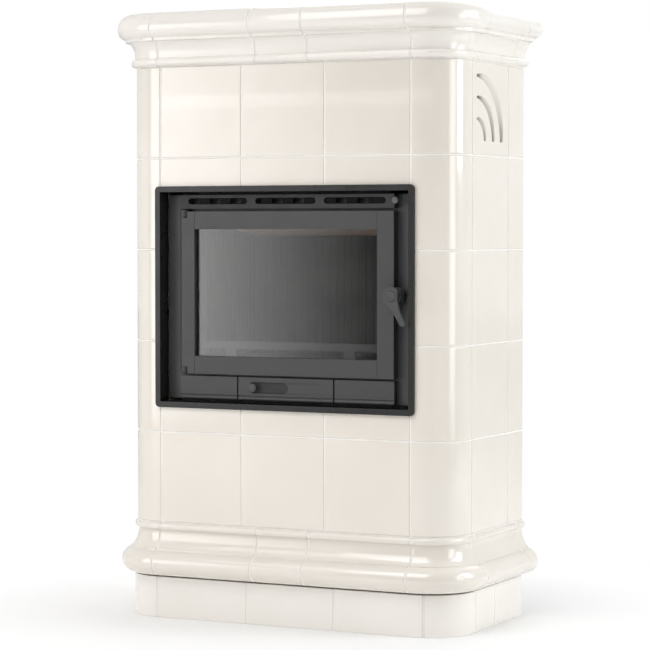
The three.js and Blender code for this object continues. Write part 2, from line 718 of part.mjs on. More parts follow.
// The channel above the door, with the slots for the secondary air.
function airBar() {
  const x = FRONT_W / 2;
  const z = [plateTop - BAR_H, plateTop];
  const inner = [FRONT_Y + SHEET, channelBack + 1];
  const hollow = box([-x + SHEET, x - SHEET], inner, [z[0] + SHEET, z[1] - SHEET]);
  const [y0, z0] = [combY() - 1, combArm()[0] - 1];
  const exit = box([x - SHEET - 1, x + 1], [y0, y0 + COMB_T + 2], [z0, combArm()[1] + 1]);
  const channel = box([-x, x], [FRONT_Y, channelBack], z);
  const round = AIR_SLOT.height / 2 - 0.01;
  return cut(channel, hollow, exit, ...airSlots(FRONT_Y - 1, FRONT_Y + SHEET + 1, round));
}

// ---------------------------------------------------------------- insert: covers, drawer

// The section of the lower fronts: a flat face, a groove and a rounded lip.
function frontSection() {
  const [y0, y1] = [FRONT_Y, channelBack];
  const top = plateBottom + COVER_H;
  const lipZ = plateBottom + LIP_R;
  const shape = new THREE.Shape();
  shape.moveTo(y1, plateBottom);
  shape.lineTo(y1, top);
  shape.lineTo(y0 + 0.8, top);
  shape.lineTo(y0, top - 0.8);
  shape.lineTo(y0, lipZ + LIP_R + 2);
  shape.lineTo(y0 + LIP_GROOVE, lipZ + LIP_R + 1);
  const groove = Math.acos((LIP_GROOVE - LIP_R + LIP_PROUD) / LIP_R);
  shape.absarc(y0 + LIP_R - LIP_PROUD, lipZ, LIP_R, groove, Math.PI * 1.5);
  return shape;
}

// The hollow behind a lower front, between two widths.
function frontHollow(x0, x1) {
  const z = [slotZ - slideHalf - GAP, plateBottom + COVER_H - SHEET];
  return box([x0 + SHEET, x1 - SHEET], [FRONT_Y + FRONT_T, channelBack + 1], z);
}

function coverRight() {
  const [x0, x1] = [DRAWER_FRONT_W / 2 + COVER_GAP, FRONT_W / 2];
  return cut(extruded(frontSection(), 'x', x0, x1, 6), frontHollow(x0, x1));
}

function slotPanel(x0, x1, y0, y1) {
  const r = TRAVEL_SLOT.height / 2;
  return panel([x0, x1], [y0, y1], [slotZ - r, slotZ + r], r - 0.01);
}

function ashDrawer() {
  const x = DRAWER_FRONT_W / 2;
  const front = cut(extruded(frontSection(), 'x', -x, x, 6), frontHollow(-x, x));
  const [trayX, top] = [TRAY_W / 2, trayBottom + TRAY_H];
  const trayY = [FRONT_Y + FRONT_T - 0.5, FRONT_Y + TRAY_LENGTH];
  const inside = [FRONT_Y + FRONT_T, trayY[1] - TRAY_WALL];
  const shell = cut(
    box([-trayX, trayX], trayY, [trayBottom, top]),
    box([-trayX + TRAY_WALL, trayX - TRAY_WALL], inside, [trayBottom + TRAY_WALL, top + 1]),
  );
  // a wall behind the slide keeps the ash in, with a hole for the air above it
  const wall = box([-trayX, trayX], [channelBack - TRAY_WALL, channelBack], [trayBottom, top]);
  const air = box([TRAVEL_SLOT.left, TRACK_RIGHT], [inside[0], channelBack + 1],
    [slotZ - 4, slotZ + 8]);
  const railZ = slotZ + slideHalf + GAP;
  const rail = box([TRAVEL_SLOT.left - 5, TRACK_RIGHT], [inside[0] - 0.5, slideY + SLIDE_T + 1],
    [railZ, railZ + 3]);
  const body = join(front, shell, cut(wall, air), rail);
  const slot = slotPanel(TRAVEL_SLOT.left, TRAVEL_SLOT.right, FRONT_Y - 1, inside[0]);
  const track = slotPanel(TRAVEL_SLOT.left, TRACK_RIGHT, FRONT_Y - 1, FRONT_Y + TRACK_DEPTH);
  return cut(body, slot, track);
}

// A turned knob on a stem, drawn as a profile and revolved; its axis lies along Y.
function knob(radius, stemRadius, front, neck, back, at) {
  const profile = [
    v2(0, front), v2(radius * 0.7, front), v2(radius, front + 1.5), v2(radius, neck - 1),
    v2(radius * 0.85, neck), v2(stemRadius, neck), v2(stemRadius, back), v2(0, back),
  ];
  const geometry = new THREE.LatheGeometry(profile, 12);
  return solid(geometry.translate(at.x, 0, at.z));
}

function airSlide() {
  const x = [TRAVEL_SLOT.left - 2, TRAVEL_SLOT.right + 2];
  const plate = box(x, [slideY, slideY + SLIDE_T], [slotZ - slideHalf, slotZ + slideHalf]);
  const at = { x: knobX, z: slotZ };
  return join(plate, knob(KNOB_R, KNOB_STEM_R, FRONT_Y - 11, FRONT_Y - 4, slideY + 1, at));
}

// ---------------------------------------------------------------- insert: secondary air

function combY() {
  return FRONT_Y + SHEET + 1.7;
}

function combArm() {
  return [airSlotZ - 4, airSlotZ + 4];
}

function airComb() {
  const x = FRONT_W / 2 - SHEET;
  const [y0, y1] = [combY(), combY() + COMB_T];
  const low = plateTop - BAR_H + SHEET + GAP;
  const end = x - COMB_TRAVEL - 3;
  const plate = box([-x + 3, end], [y0, y1], [low, airSlotZ + 10]);
  const windows = [];
  for (let at = -x + 20; at + COMB_PITCH / 2 < end - 4; at += COMB_PITCH) {
    windows.push(box([at, at + COMB_PITCH / 2], [y0 - 1, y1 + 1], [airSlotZ - 6, airSlotZ + 6]));
  }
  const knobAt = { x: FRONT_W / 2 + 4.5, z: airSlotZ };
  const arm = box([end - 1, knobAt.x + 4], [y0, y1], combArm());
  return join(cut(plate, ...windows), arm, knob(BAR_KNOB_R, 3, FRONT_Y - 9, FRONT_Y - 1.5,
    y0 + 1, knobAt));
}

// ---------------------------------------------------------------- insert: firebox

function flueTube(radius, from, to) {
  return rod('y', radius, from, to, [FLUE_Z, 0], FLUE_SIDES);
}

function fireboxShell() {
  const inX = shellX - SHELL_WALL;
  const inY = [shellFront + SHELL_WALL, SHELL_REAR - SHELL_WALL];
  const outer = join(
    box([-shellX, shellX], [shellFront, SHELL_REAR], [shellBottom, plateTop]),
    box([-shellX, shellX], [HOOD_FRONT, SHELL_REAR], [floorZ, HOOD_TOP]),
  );
  const chamber = join(
    box([-inX, inX], inY, [floorZ, plateTop - SHELL_WALL]),
    box([-inX, inX], [HOOD_FRONT + SHELL_WALL, inY[1]], [floorZ, HOOD_TOP - SHELL_WALL]),
  );
  const below = box([-inX, inX], inY, [shellBottom + SHELL_WALL, floorZ - SHELL_WALL]);
  const doorway = [shellFront - 1, inY[0] + 1];
  const mouth = box([-MOUTH_W / 2, MOUTH_W / 2], doorway, [MOUTH_BOTTOM, MOUTH_TOP]);
  const drawer = box([-drawerOpening.x, drawerOpening.x], doorway,
    [shellBottom + SHELL_WALL, drawerOpening.top]);
  const ashX = GRATE_W / 2 - GRATE_LEDGE;
  const ashWay = box([-ashX, ashX], [GRATE_FRONT + GRATE_LEDGE, GRATE_REAR - GRATE_LEDGE],
    [floorZ - SHELL_WALL - 1, floorZ + 1]);
  const collar = flueTube(FLUE_R, SHELL_REAR - 1, bodyDepth);
  const bore = flueTube(FLUE_R - FLUE_WALL, SHELL_REAR - SHELL_WALL - 1, bodyDepth + 1);
  const [runIn, runOut] = [TRAY_W / 2 + 0.7, TRAY_W / 2 + 2.7];
  const runners = [-1, 1].map((side) => {
    const x = side < 0 ? [-runOut, -runIn] : [runIn, runOut];
    const z = shellBottom + SHELL_WALL;
    return box(x, [inY[0] + 6, inY[1] - 20], [z - 0.5, z + 10]);
  });
  const body = cut(join(outer, collar), chamber, below, mouth, drawer, ashWay, bore);
  return join(body, ...runners);
}

// A lining plate in plan with vertical flutes on the face at v = 0, u along its length.
function flutedOutline(length, thickness) {
  const points = [v2(0, thickness)];
  const count = Math.floor(length / FLUTE_PITCH);
  const start = (length - count * FLUTE_PITCH) / 2;
  points.push(v2(0, 0));
  for (let i = 0; i < count; i += 1) {
    const middle = start + (i + 0.5) * FLUTE_PITCH;
    const half = FLUTE_PITCH * 0.14;
    points.push(v2(middle - half, 0), v2(middle, FLUTE_DEPTH), v2(middle + half, 0));
  }
  points.push(v2(length, 0), v2(length, thickness));
  return points;
}

const liningY = [GUARD_Y + GUARD_T + GAP, CHAMBER_REAR - GAP];
const underBaffle = (y) => BAFFLE_LOW + BAFFLE_SLOPE * (CHAMBER_REAR - y);

// A strip along the baffle's slope, between two heights above its underside.
function slopedStrip(y0, y1, from, to, halfX) {
  const shape = new THREE.Shape();
  shape.moveTo(y0, underBaffle(y0) + from);
  shape.lineTo(y1, underBaffle(y1) + from);
  shape.lineTo(y1, underBaffle(y1) + to);
  shape.lineTo(y0, underBaffle(y0) + to);
  return extruded(shape, 'x', -halfX, halfX);
}

function rightLining() {
  const [y0, y1] = liningY;
  const x = CHAMBER_W / 2;
  const shape = new THREE.Shape(flutedOutline(y1 - y0, LINING_T).map((p) => v2(x + p.y, y0 + p.x)));
  const tall = extruded(shape, 'z', MOUTH_BOTTOM + GAP, BAFFLE_LOW + 2 * LINING_T);
  return cut(tall, slopedStrip(y0 - 1, y1 + 1, -GAP, TILE, x + LINING_T + 1));
}

function rearLining() {
  const x = CHAMBER_W / 2 + LINING_T;
  const outline = flutedOutline(2 * x, LINING_T).map((p) => v2(p.x - x, CHAMBER_REAR + p.y));
  const high = underBaffle(CHAMBER_REAR + LINING_T) - GAP;
  return extruded(new THREE.Shape(outline), 'z', MOUTH_BOTTOM + GAP, high);
}

// The baffle lies on the linings and rises towards the front, where the smoke passes.
function baffle() {
  const x = CHAMBER_W / 2 + LINING_T - GAP;
  return slopedStrip(BAFFLE_FRONT, CHAMBER_REAR + LINING_T, 0, BAFFLE_T, x);
}

function hearth() {
  const x = CHAMBER_W / 2 + LINING_T;
  const z = [floorZ + GAP / 2, MOUTH_BOTTOM];
  const slab = box([-x, x], [liningY[0], CHAMBER_REAR + LINING_T], z);
  const seat = box([-GRATE_W / 2, GRATE_W / 2], [GRATE_FRONT, GRATE_REAR],
    [MOUTH_BOTTOM - GRATE_T - GAP, MOUTH_BOTTOM + 1]);
  const way = GRATE_W / 2 - GRATE_LEDGE;
  const well = box([-way, way], [GRATE_FRONT + GRATE_LEDGE, GRATE_REAR - GRATE_LEDGE],
    [z[0] - 1, MOUTH_BOTTOM]);
  return cut(slab, seat, well);
}

function grate() {
  const x = GRATE_W / 2 - GAP;
  const y = [GRATE_FRONT + GAP, GRATE_REAR - GAP];
  const z = [MOUTH_BOTTOM - GRATE_T, MOUTH_BOTTOM];
  const pitch = (2 * x - 24) / GRATE_BARS;
  const slots = Array.from({ length: GRATE_BARS }, (_, i) => {
    const at = (i - (GRATE_BARS - 1) / 2) * pitch;
    return box([at - pitch / 4, at + pitch / 4], [y[0] + 14, y[1] - 14], [z[0] - 1, z[1] + 1]);
  });
  return cut(box([-x, x], y, z), ...slots);
}

// The log guard stands on two posts in the fire mouth.
function logGuard() {
  const y = [GUARD_Y, GUARD_Y + GUARD_T];
  const x = MOUTH_W / 2 - 4;
  const z = [MOUTH_BOTTOM + GAP, MOUTH_BOTTOM + GUARD_H];
  const bar = panel([-x, x], y, [z[1] - GUARD_BAR_H, z[1]], 3);
  const posts = [-1, 1].map((side) => {
    const at = side * GUARD_POST_X;
    return box([at - GUARD_POST_W / 2, at + GUARD_POST_W / 2], y, [z[0], z[1] - 4]);
  });
  return join(bar, ...posts);
}

// ---------------------------------------------------------------- insert: door

function ring(x, z0, z1, width, y0, y1) {
  return cut(
    box([-x - width, x + width], [y0, y1], [z0 - width, z1 + width]),
    box([-x, x], [y0 - 1, y1 + 1], [z0, z1]),
  );
}

function doorFrame() {
  const y = [DOOR_Y, doorBack];
  const through = [DOOR_Y - 1, doorBack + 1];
  const body = join(
    box([HINGE_X, DOOR_RIGHT], y, [doorBottom, doorTop]),
    rod('z', HINGE_R, doorBottom, doorTop, [HINGE_X, hingeY], 20),
    rod('y', EAR_R, DOOR_Y, DOOR_Y + EAR_T, [hubZ, hubX], 24),
  );
  const window = box([-windowX, windowX], through, [windowBottom, windowTop]);
  const lap = GLASS_LAP + 2 * GAP;
  const seat = box([-windowX - lap, windowX + lap], [DOOR_Y + GLASS_LIP, doorBack + 1],
    [windowBottom - lap, windowTop + lap]);
  const groove = ring(windowX + ROPE_IN - GAP, windowBottom - ROPE_IN + GAP,
    windowTop + ROPE_IN - GAP, ROPE_W + 2 * GAP, doorBack - 5.6, doorBack + 1);
  const notch = [HINGE_X - HINGE_R - 1, HINGE_X + HINGE_R + 1.5];
  const deep = [DOOR_Y - 1, PLATE_Y];
  const upper = box(notch, deep, [lugTop - LUG_TOP_H - 2, doorTop + 1]);
  const lower = box(notch, deep, [doorBottom - 1, lugBottom + LUG_BOTTOM_H + GAP]);
  const bores = [
    rod('z', PIN_R + RUN, upperPin()[0] - 2, lugTop, [HINGE_X, hingeY]),
    rod('z', PIN_R + RUN, lugBottom, lowerPin()[1] + 2, [HINGE_X, hingeY]),
  ];
  const spindleHole = rod('y', SPINDLE_R + RUN, through[0], through[1], [hubZ, hubX]);
  const seams = [-1, 1].flatMap((side) => {
    const x = [side * windowX - 0.5, side * windowX + 0.5];
    const depth = [DOOR_Y - 1, DOOR_Y + SEAM];
    return [
      box(x, depth, [doorBottom - 1, windowBottom]),
      box(x, depth, [windowTop, doorTop + 1]),
    ];
  });
  const latchRoom = box([hubX - 14, DOOR_RIGHT + 1], [DOOR_Y + EAR_T, doorBack + 1],
    [hubZ - 14, hubZ + TONGUE_REACH + 8]);
  return cut(body, window, seat, groove, upper, lower, ...bores, spindleHole, latchRoom,
    ...seams);
}

const glassY = DOOR_Y + GLASS_LIP + GAP;

function doorGlass() {
  const x = windowX + GLASS_LAP;
  return box([-x, x], [glassY, glassY + GLASS_T], [windowBottom - GLASS_LAP, windowTop + GLASS_LAP]);
}

function glassRetainer() {
  const width = GLASS_LAP - 1;
  const y0 = glassY + GLASS_T + GAP;
  return ring(windowX + 1, windowBottom - 1, windowTop + 1, width, y0, doorBack - GAP);
}

function ropeSeal() {
  const [x, z0, z1] = [windowX + ROPE_IN, windowBottom - ROPE_IN, windowTop + ROPE_IN];
  const bevel = ROPE_W / 4;
  const outer = roundedRect(z0 - ROPE_W + bevel, -x - ROPE_W + bevel,
    z1 + ROPE_W - bevel, x + ROPE_W - bevel, 2);
  outer.holes.push(roundedRect(z0 - bevel, -x - bevel, z1 + bevel, x + bevel, 2));
  const [y0, y1] = [doorBack - 5.6 + GAP, PLATE_Y - GAP];
  const geometry = new THREE.ExtrudeGeometry(outer, {
    depth: y1 - y0 - 2 * bevel, bevelEnabled: true, bevelSize: bevel, bevelThickness: bevel,
    bevelSegments: 1, curveSegments: 1,
  });
  return solid(standAlong(geometry.translate(0, 0, y0 + bevel), 'y'));
}

function upperPin() {
  return [lugTop - LUG_TOP_H - PIN_DEPTH, lugTop + GAP];
}

function lowerPin() {
  return [lugBottom - GAP, lugBottom + LUG_BOTTOM_H + PIN_DEPTH];
}

function hingePinTop() {
  const [from, to] = upperPin();
  const head = rod('z', PIN_R + 2.5, to, plateTop - BAR_H - GAP, [HINGE_X, hingeY]);
  return join(rod('z', PIN_R, from, to + 1, [HINGE_X, hingeY]), head);
}

function hingePinBottom() {
  const [from, to] = lowerPin();
  const head = rod('z', PIN_R + 2.5, from - 2.5, from, [HINGE_X, hingeY]);
  return join(rod('z', PIN_R, from - 1, to, [HINGE_X, hingeY]), head);
}

// ---------------------------------------------------------------- insert: handle, latch

function tongueFront() {
  return DOOR_Y + EAR_T + GAP + 2;
}

// The lever in front view: a round head that tapers into a slightly bent grip.
function leverShape() {
  const end = v2(hubX + LEVER_DX, hubZ + LEVER_DZ);
  const hub = v2(hubX, hubZ);
  const along = end.clone().sub(hub).normalize();
  const across = v2(-along.y, along.x); // to the right of the lever
  const outline = [];
  const sweepArc = (centre, radius, from, to, steps) => {
    for (let i = 0; i <= steps; i += 1) {
      const angle = from + ((to - from) * i) / steps;
      outline.push(v2(centre.x + radius * Math.cos(angle), centre.y + radius * Math.sin(angle)));
    }
  };
  const turn = Math.atan2(along.y, along.x);
  sweepArc(hub, HEAD_R, turn + 1.9, turn + Math.PI * 2 - 1.25, 12);
  outline.push(hub.clone().addScaledVector(along, 38).addScaledVector(across, -10.5));
  sweepArc(end, LEVER_END_R, turn - Math.PI / 2, turn + Math.PI / 2, 6);
  outline.push(hub.clone().addScaledVector(along, 38).addScaledVector(across, 6));
  outline.push(hub.clone().addScaledVector(along, 16).addScaledVector(across, 10));
  return outline;
}

function doorHandle() {
  const headBack = DOOR_Y - GAP;
  const headFront = headBack - HEAD_T;
  const swap = (points) => points.map((p) => v2(p.y, p.x));
  const lever = extruded(new THREE.Shape(swap(leverShape())), 'y', LEVER_Y, LEVER_Y + LEVER_T);
  const at = [hubZ, hubX];
  const neck = rod('y', HEAD_R - 6, LEVER_Y + LEVER_T - 1, headBack, at, 20);
  const washer = rod('y', HEAD_R - 3, headFront, headBack, at, 20, HEAD_R - 3);
  const boss = rod('y', BOSS_R - 3, LEVER_Y - 4, LEVER_Y + 1, at, 20, BOSS_R);
  const bore = rod('y', SPINDLE_R + GAP, LEVER_Y + 4, headBack + 1, at);
  return cut(join(lever, neck, washer, boss), bore);
}

// The spindle turns in the door's ear and carries the latch tongue behind it.
function latchSpindle() {
  const at = [hubZ, hubX];
  const y0 = tongueFront();
  const collar = rod('y', COLLAR_R, DOOR_Y + EAR_T + GAP, y0 + 1, at);
  const shaft = rod('y', SPINDLE_R, LEVER_Y + 4 + GAP, y0 + TONGUE_T, at);
  const tongue = solid(new THREE.BoxGeometry(TONGUE_REACH, TONGUE_T, TONGUE_W)
    .translate(TONGUE_REACH / 2, 0, 0)
    .rotateY((-TONGUE_ANGLE * Math.PI) / 180)
    .translate(hubX, y0 + TONGUE_T / 2, hubZ));
  return join(collar, shaft, tongue, rod('y', COLLAR_R, y0, y0 + TONGUE_T, at));
}

// ---------------------------------------------------------------- finishes and assembly

function finish(color, roughness, metalness = 0, more = {}) {
  return new THREE.MeshStandardMaterial({ color, roughness, metalness, ...more });
}

const glaze = finish(0xf3efe6, 0.12);
const fireclay = finish(0xe6ddcc, 0.6);
const satinSteel = finish(0x4a4a4a, 0.5, 0.3);
const darkSteel = finish(0x2a2a2a, 0.6, 0.3);
const zincSheet = finish(0x9a9c9e, 0.45, 0.8);
const castIron = finish(0x333333, 0.65, 0.3);
const vermiculite = finish(0xb9a184, 0.9);
const ceramicGlass = finish(0x30302e, 0.05, 0, { transparent: true, opacity: 0.35 });
const fibreRope = finish(0x8c8880, 0.95);

const stove = new THREE.Group();
stove.name = 'tiled_stove';
stove.position.y = -centreY;

function add(name, body, material) {
  const mesh = new THREE.Mesh(geometryOf(body), material);
  mesh.name = name;
  stove.add(mesh);
}

function addPair(name, body, material) {
  add(`${name}_right`, body, material);
  add(`${name}_left`, mirrored(body), material);
}

const columnNames = ['left', 'centre', 'right'];
const openRow = (row) => rowBottom(row) < sleeveBottom || rowTop(row) > sleeveTop;
for (let row = 1; row <= ROWS; row += 1) {
  addPair(`corner_tile_${row}`, cornerTile(row), glaze);
  for (let column = 0; openRow(row) && column < COLUMNS; column += 1) {
    add(`front_tile_${row}_${columnNames[column]}`, frontTile(row, column), glaze);
  }
}
addPair('side_tiles', sideTiles(), glaze);
addPair('vent_tile', ventTile(), glaze);
addPair('crown', sideMould(crownSection(), CROWN_SIDE_JOINTS), glaze);
add('crown_front', frontMould(crownSection(), CROWN_JOINT_X), glaze);
addPair('base_moulding', sideMould(baseSection(), BASE_SIDE_JOINTS), glaze);
add('base_moulding_front', frontMould(baseSection(), BASE_JOINT_X), glaze);
add('plinth', plinth(), glaze);
add('top_slab', topSlab(), fireclay);

add('stand', stand(), darkSteel);
add('rear_panel', rearPanel(), zincSheet);
add('trim_frame', trimFrame(), satinSteel);
add('front_plate', frontPlate(), satinSteel);
add('air_bar', airBar(), satinSteel);
add('air_comb', airComb(), darkSteel);
addPair('lower_cover', coverRight(), satinSteel);
add('ash_drawer', ashDrawer(), satinSteel);
add('air_slide', airSlide(), satinSteel);

add('firebox_shell', fireboxShell(), darkSteel);
add('hearth_floor', hearth(), vermiculite);
add('grate', grate(), castIron);
addPair('side_lining', rightLining(), vermiculite);
add('rear_lining', rearLining(), vermiculite);
add('baffle', baffle(), vermiculite);
add('log_guard', logGuard(), castIron);

add('door_frame', doorFrame(), satinSteel);
add('door_glass', doorGlass(), ceramicGlass);
add('glass_retainer', glassRetainer(), darkSteel);
add('rope_seal', ropeSeal(), fibreRope);
add('hinge_pin_top', hingePinTop(), darkSteel);
add('hinge_pin_bottom', hingePinBottom(), darkSteel);
add('door_handle', doorHandle(), satinSteel);
add('latch_spindle', latchSpindle(), darkSteel);

export default stove;
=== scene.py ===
# %% [markdown]
# # A tiled stove
#
# This lesson dresses the solid model of a tiled stove: a casing of cream glazed tiles with a
# moulded crown and base, round a steel fireplace insert with a glass door. The solid model
# gives every size and place. What is made here is what the eye sees: soft glazed edges, the
# pale joints, satin stove paint, glass and the tan boards of the firebox.

# %% Load the solid model
import math

import bmesh
import bpy
from mathutils import Matrix, Vector


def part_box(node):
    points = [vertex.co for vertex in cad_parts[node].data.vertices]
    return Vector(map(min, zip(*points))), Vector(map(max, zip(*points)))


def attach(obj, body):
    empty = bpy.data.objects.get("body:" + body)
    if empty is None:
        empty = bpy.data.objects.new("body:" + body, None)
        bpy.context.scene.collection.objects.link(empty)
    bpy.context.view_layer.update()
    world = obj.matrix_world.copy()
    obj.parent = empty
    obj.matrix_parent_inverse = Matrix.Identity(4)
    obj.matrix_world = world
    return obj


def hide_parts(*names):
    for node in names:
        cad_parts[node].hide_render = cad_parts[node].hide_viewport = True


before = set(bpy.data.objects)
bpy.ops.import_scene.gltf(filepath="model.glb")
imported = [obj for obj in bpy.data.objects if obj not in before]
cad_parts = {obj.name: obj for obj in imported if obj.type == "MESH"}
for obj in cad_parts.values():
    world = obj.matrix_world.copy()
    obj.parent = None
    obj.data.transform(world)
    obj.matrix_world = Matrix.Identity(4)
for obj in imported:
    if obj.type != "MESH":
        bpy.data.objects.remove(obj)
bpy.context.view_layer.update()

# %% [markdown]
# Sizes that the eye's pieces share are read from the solid model, so that a tile here lies
# exactly where its solid lies. Lengths are in metres. Y grows into the depth, so the front
# of a tile has the lowest Y.

# %% Sizes read from the solid model
MM = 0.001
TILE_LOW, TILE_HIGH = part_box("front_tile_1_centre")
CORNER_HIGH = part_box("corner_tile_1_right")[1]
FACE_Y = TILE_LOW.y  # plane of the front tiles' faces
TILE = 220 * MM
JOINT = 0.6 * MM  # gap between the solids of neighbouring tiles
TILE_DEPTH = TILE_HIGH.y - TILE_LOW.y
SIDE_X = CORNER_HIGH.x  # plane of the side tiles' faces
REAR_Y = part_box("side_tiles_right")[1].y
SIDE_JOINT_Y = CORNER_HIGH.y + JOINT / 2
NARROW_JOINT_Y = SIDE_JOINT_Y + TILE
CORNER_RADIUS = 98 * MM
ARC_X = SIDE_X - CORNER_RADIUS  # where the rounded corner starts, and its centre's X
ARC_LENGTH = CORNER_RADIUS * math.pi / 2
ROWS_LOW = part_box("corner_tile_5_right")[0].z - JOINT / 2
ROWS_HIGH = CORNER_HIGH.z + JOINT / 2
TRIM_LOW, TRIM_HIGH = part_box("trim_frame")
print("tile faces at Y", round(FACE_Y, 4), "and X", round(SIDE_X, 4))

# %% [markdown]
# Blender's operators act on whatever is selected, so a few helpers keep the selection tidy:
# one makes a single object active, one picks faces or edges in edit mode by where they lie,
# and one ends a piece by putting its place into its mesh.

# %% Helpers for modelling by hand in code
def only(obj):
    """Leaves edit mode and selects this object alone."""
    if bpy.context.object and bpy.context.object.mode != "OBJECT":
        bpy.ops.object.mode_set(mode="OBJECT")
    bpy.ops.object.select_all(action="DESELECT")
    obj.select_set(True)
    bpy.context.view_layer.objects.active = obj


def pick(obj, kind, wanted):
    """Enters edit mode with those faces or edges selected that pass the wanted test."""
    only(obj)
    bpy.ops.object.mode_set(mode="EDIT")
    bpy.ops.mesh.select_mode(type=kind)
    bpy.ops.mesh.select_all(action="DESELECT")
    mesh = bmesh.from_edit_mesh(obj.data)
    for part in mesh.faces if kind == "FACE" else mesh.edges:
        if wanted(part):
            part.select_set(True)
    bmesh.update_edit_mesh(obj.data)


def settle(obj, smooth=35):
    """Puts the object's place into its mesh and smooths all but its sharp edges."""
    only(obj)
    bpy.ops.object.transform_apply(location=True, rotation=True, scale=True)
    if smooth:
        bpy.ops.object.shade_smooth_by_angle(angle=math.radians(smooth))
    return obj


def block(name, low, high):
    """A cube added at its size and place."""
    low, high = Vector(low), Vector(high)
    bpy.ops.object.select_all(action="DESELECT")
    bpy.ops.mesh.primitive_cube_add(size=1, location=(low + high) / 2)
    cube = bpy.context.object
    cube.name = name
    cube.scale = high - low
    bpy.ops.object.transform_apply(location=True, rotation=True, scale=True)
    return cube


def joined(name, parts):
    """Joins several pieces into one mesh."""
    only(parts[0])
    for part in parts:
        part.select_set(True)
    bpy.ops.object.join()
    parts[0].name = name
    parts[0].data.name = name
    return parts[0]


def mirrored(obj, name):
    """A copy on the other side of the stove's middle plane, turned the right way out."""
    copy = obj.copy()
    copy.data = obj.data.copy()
    bpy.context.collection.objects.link(copy)
    copy.name = name
    copy.scale.x = -1
    only(copy)
    bpy.ops.object.transform_apply(location=True, rotation=True, scale=True)
    bpy.ops.object.mode_set(mode="EDIT")
    bpy.ops.mesh.select_all(action="SELECT")
    bpy.ops.mesh.normals_make_consistent(inside=False)
    bpy.ops.object.mode_set(mode="OBJECT")
    return copy


def modify(obj, kind, **settings):
    """Adds a modifier with these settings and applies it."""
    only(obj)
    modifier = obj.modifiers.new(kind.title(), kind)
    for key, value in settings.items():
        setattr(modifier, key, value)
    bpy.ops.object.modifier_apply(modifier=modifier.name)


def finish_piece(obj, material, body="casing", replaces=()):
    """Gives a piece its material and says what it rides on and what it stands for."""
    modify(obj, "WEIGHTED_NORMAL", keep_sharp=True)  # keeps broad faces flat beside a bevel
    obj.data.materials.clear()
    obj.data.materials.append(material)
    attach(obj, body)
    if replaces:
        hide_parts(*replaces)


# %% [markdown]
# ## Materials
#
# Every finish is made of nodes that read Object coordinates, so a pattern stays on the
# piece from every side and in every pose. A small helper wires a noise or a Voronoi pattern
# through a colour ramp; each finish then says at what scale it varies.

# %% Helpers for materials
def new_material(name):
    material = bpy.data.materials.new(name)
    material.use_nodes = True
    tree = material.node_tree
    return material, tree, tree.nodes["Principled BSDF"]


def pattern(tree, kind, scale, **settings):
    """A procedural pattern on Object coordinates; scale counts features in a metre."""
    place = tree.nodes.new("ShaderNodeTexCoord")
    node = tree.nodes.new(kind)
    node.inputs["Scale"].default_value = scale
    for key, value in settings.items():
        node.inputs[key].default_value = value
    tree.links.new(place.outputs["Object"], node.inputs["Vector"])
    return node


def ramp(tree, source, stops):
    """A colour ramp over a value; stops are (position, colour)."""
    node = tree.nodes.new("ShaderNodeValToRGB")
    while len(node.color_ramp.elements) < len(stops):
        node.color_ramp.elements.new(0.5)
    for element, (position, colour) in zip(node.color_ramp.elements, stops):
        element.position = position
        element.color = (*colour, 1)
    tree.links.new(source, node.inputs["Fac"])
    return node.outputs["Color"]


def grey(value):
    return (value, value, value)


def bump(tree, shader, source, distance, below=None):
    """Relief from a value; distance is its height in metres."""
    node = tree.nodes.new("ShaderNodeBump")
    node.inputs["Distance"].default_value = distance
    node.inputs["Strength"].default_value = 1.0
    tree.links.new(source, node.inputs["Height"])
    if below:
        tree.links.new(below, node.inputs["Normal"])
    tree.links.new(node.outputs["Normal"], shader.inputs["Normal"])
    return node.outputs["Normal"]


# %% [markdown]
# The glaze is a thick glass-like layer over pale clay. It is not flat: it lies in slow waves
# a few centimetres long, which bend the reflections, and its colour drifts a little where it
# lies thicker. A clear coat over a slightly rough base gives the double highlight. There is
# one glaze in the photograph. The crown and the plinth have a paler copy of it here: painted
# light, which stands in for the light these lamps give them too little of, to even them out
# against the tiles.

# %% Glaze
def make_glaze(name, thick, middle, thin):
    material, tree, shader = new_material(name)
    drift = pattern(tree, "ShaderNodeTexNoise", 5, Detail=2)
    colour = ramp(tree, drift.outputs["Fac"], [(0.30, thick), (0.55, middle), (0.75, thin)])
    tree.links.new(colour, shader.inputs["Base Color"])
    shader.inputs["Roughness"].default_value = 0.16
    shader.inputs["IOR"].default_value = 1.5
    shader.inputs["Coat Weight"].default_value = 1.0
    shader.inputs["Coat Roughness"].default_value = 0.04
    waves = pattern(tree, "ShaderNodeTexNoise", 14, Detail=1)
    broad = bump(tree, shader, waves.outputs["Fac"], 0.0012)
    pits = pattern(tree, "ShaderNodeTexNoise", 420, Detail=2)
    bump(tree, shader, pits.outputs["Fac"], 0.00003, below=broad)
    return material


GLAZE = make_glaze(
    "cream_glaze", (0.802, 0.745, 0.672), (0.820, 0.766, 0.698), (0.838, 0.788, 0.724)
)
# A paler copy of the glaze: painted light for the crown and the plinth.
GLAZE_PAINTED_LIGHTER = make_glaze(
    "glaze_painted_lighter", (0.875, 0.832, 0.776), (0.888, 0.848, 0.796), (0.900, 0.862, 0.812)
)

# %% [markdown]
# The joints are filled with fine white mortar, wiped while wet. It is matt, with grains of
# about a millimetre. The slab on top is unglazed clay, and the firebox is lined with board.

# %% Mortar, fired clay and firebox board
def make_mortar():
    material, tree, shader = new_material("white_mortar")
    grain = pattern(tree, "ShaderNodeTexNoise", 900, Detail=4)
    colour = ramp(tree, grain.outputs["Fac"], [
        (0.3, (0.90, 0.88, 0.85)),
        (0.7, (0.95, 0.93, 0.90)),
    ])
    tree.links.new(colour, shader.inputs["Base Color"])
    shader.inputs["Roughness"].default_value = 0.85
    bump(tree, shader, grain.outputs["Fac"], 0.0002)
    return material


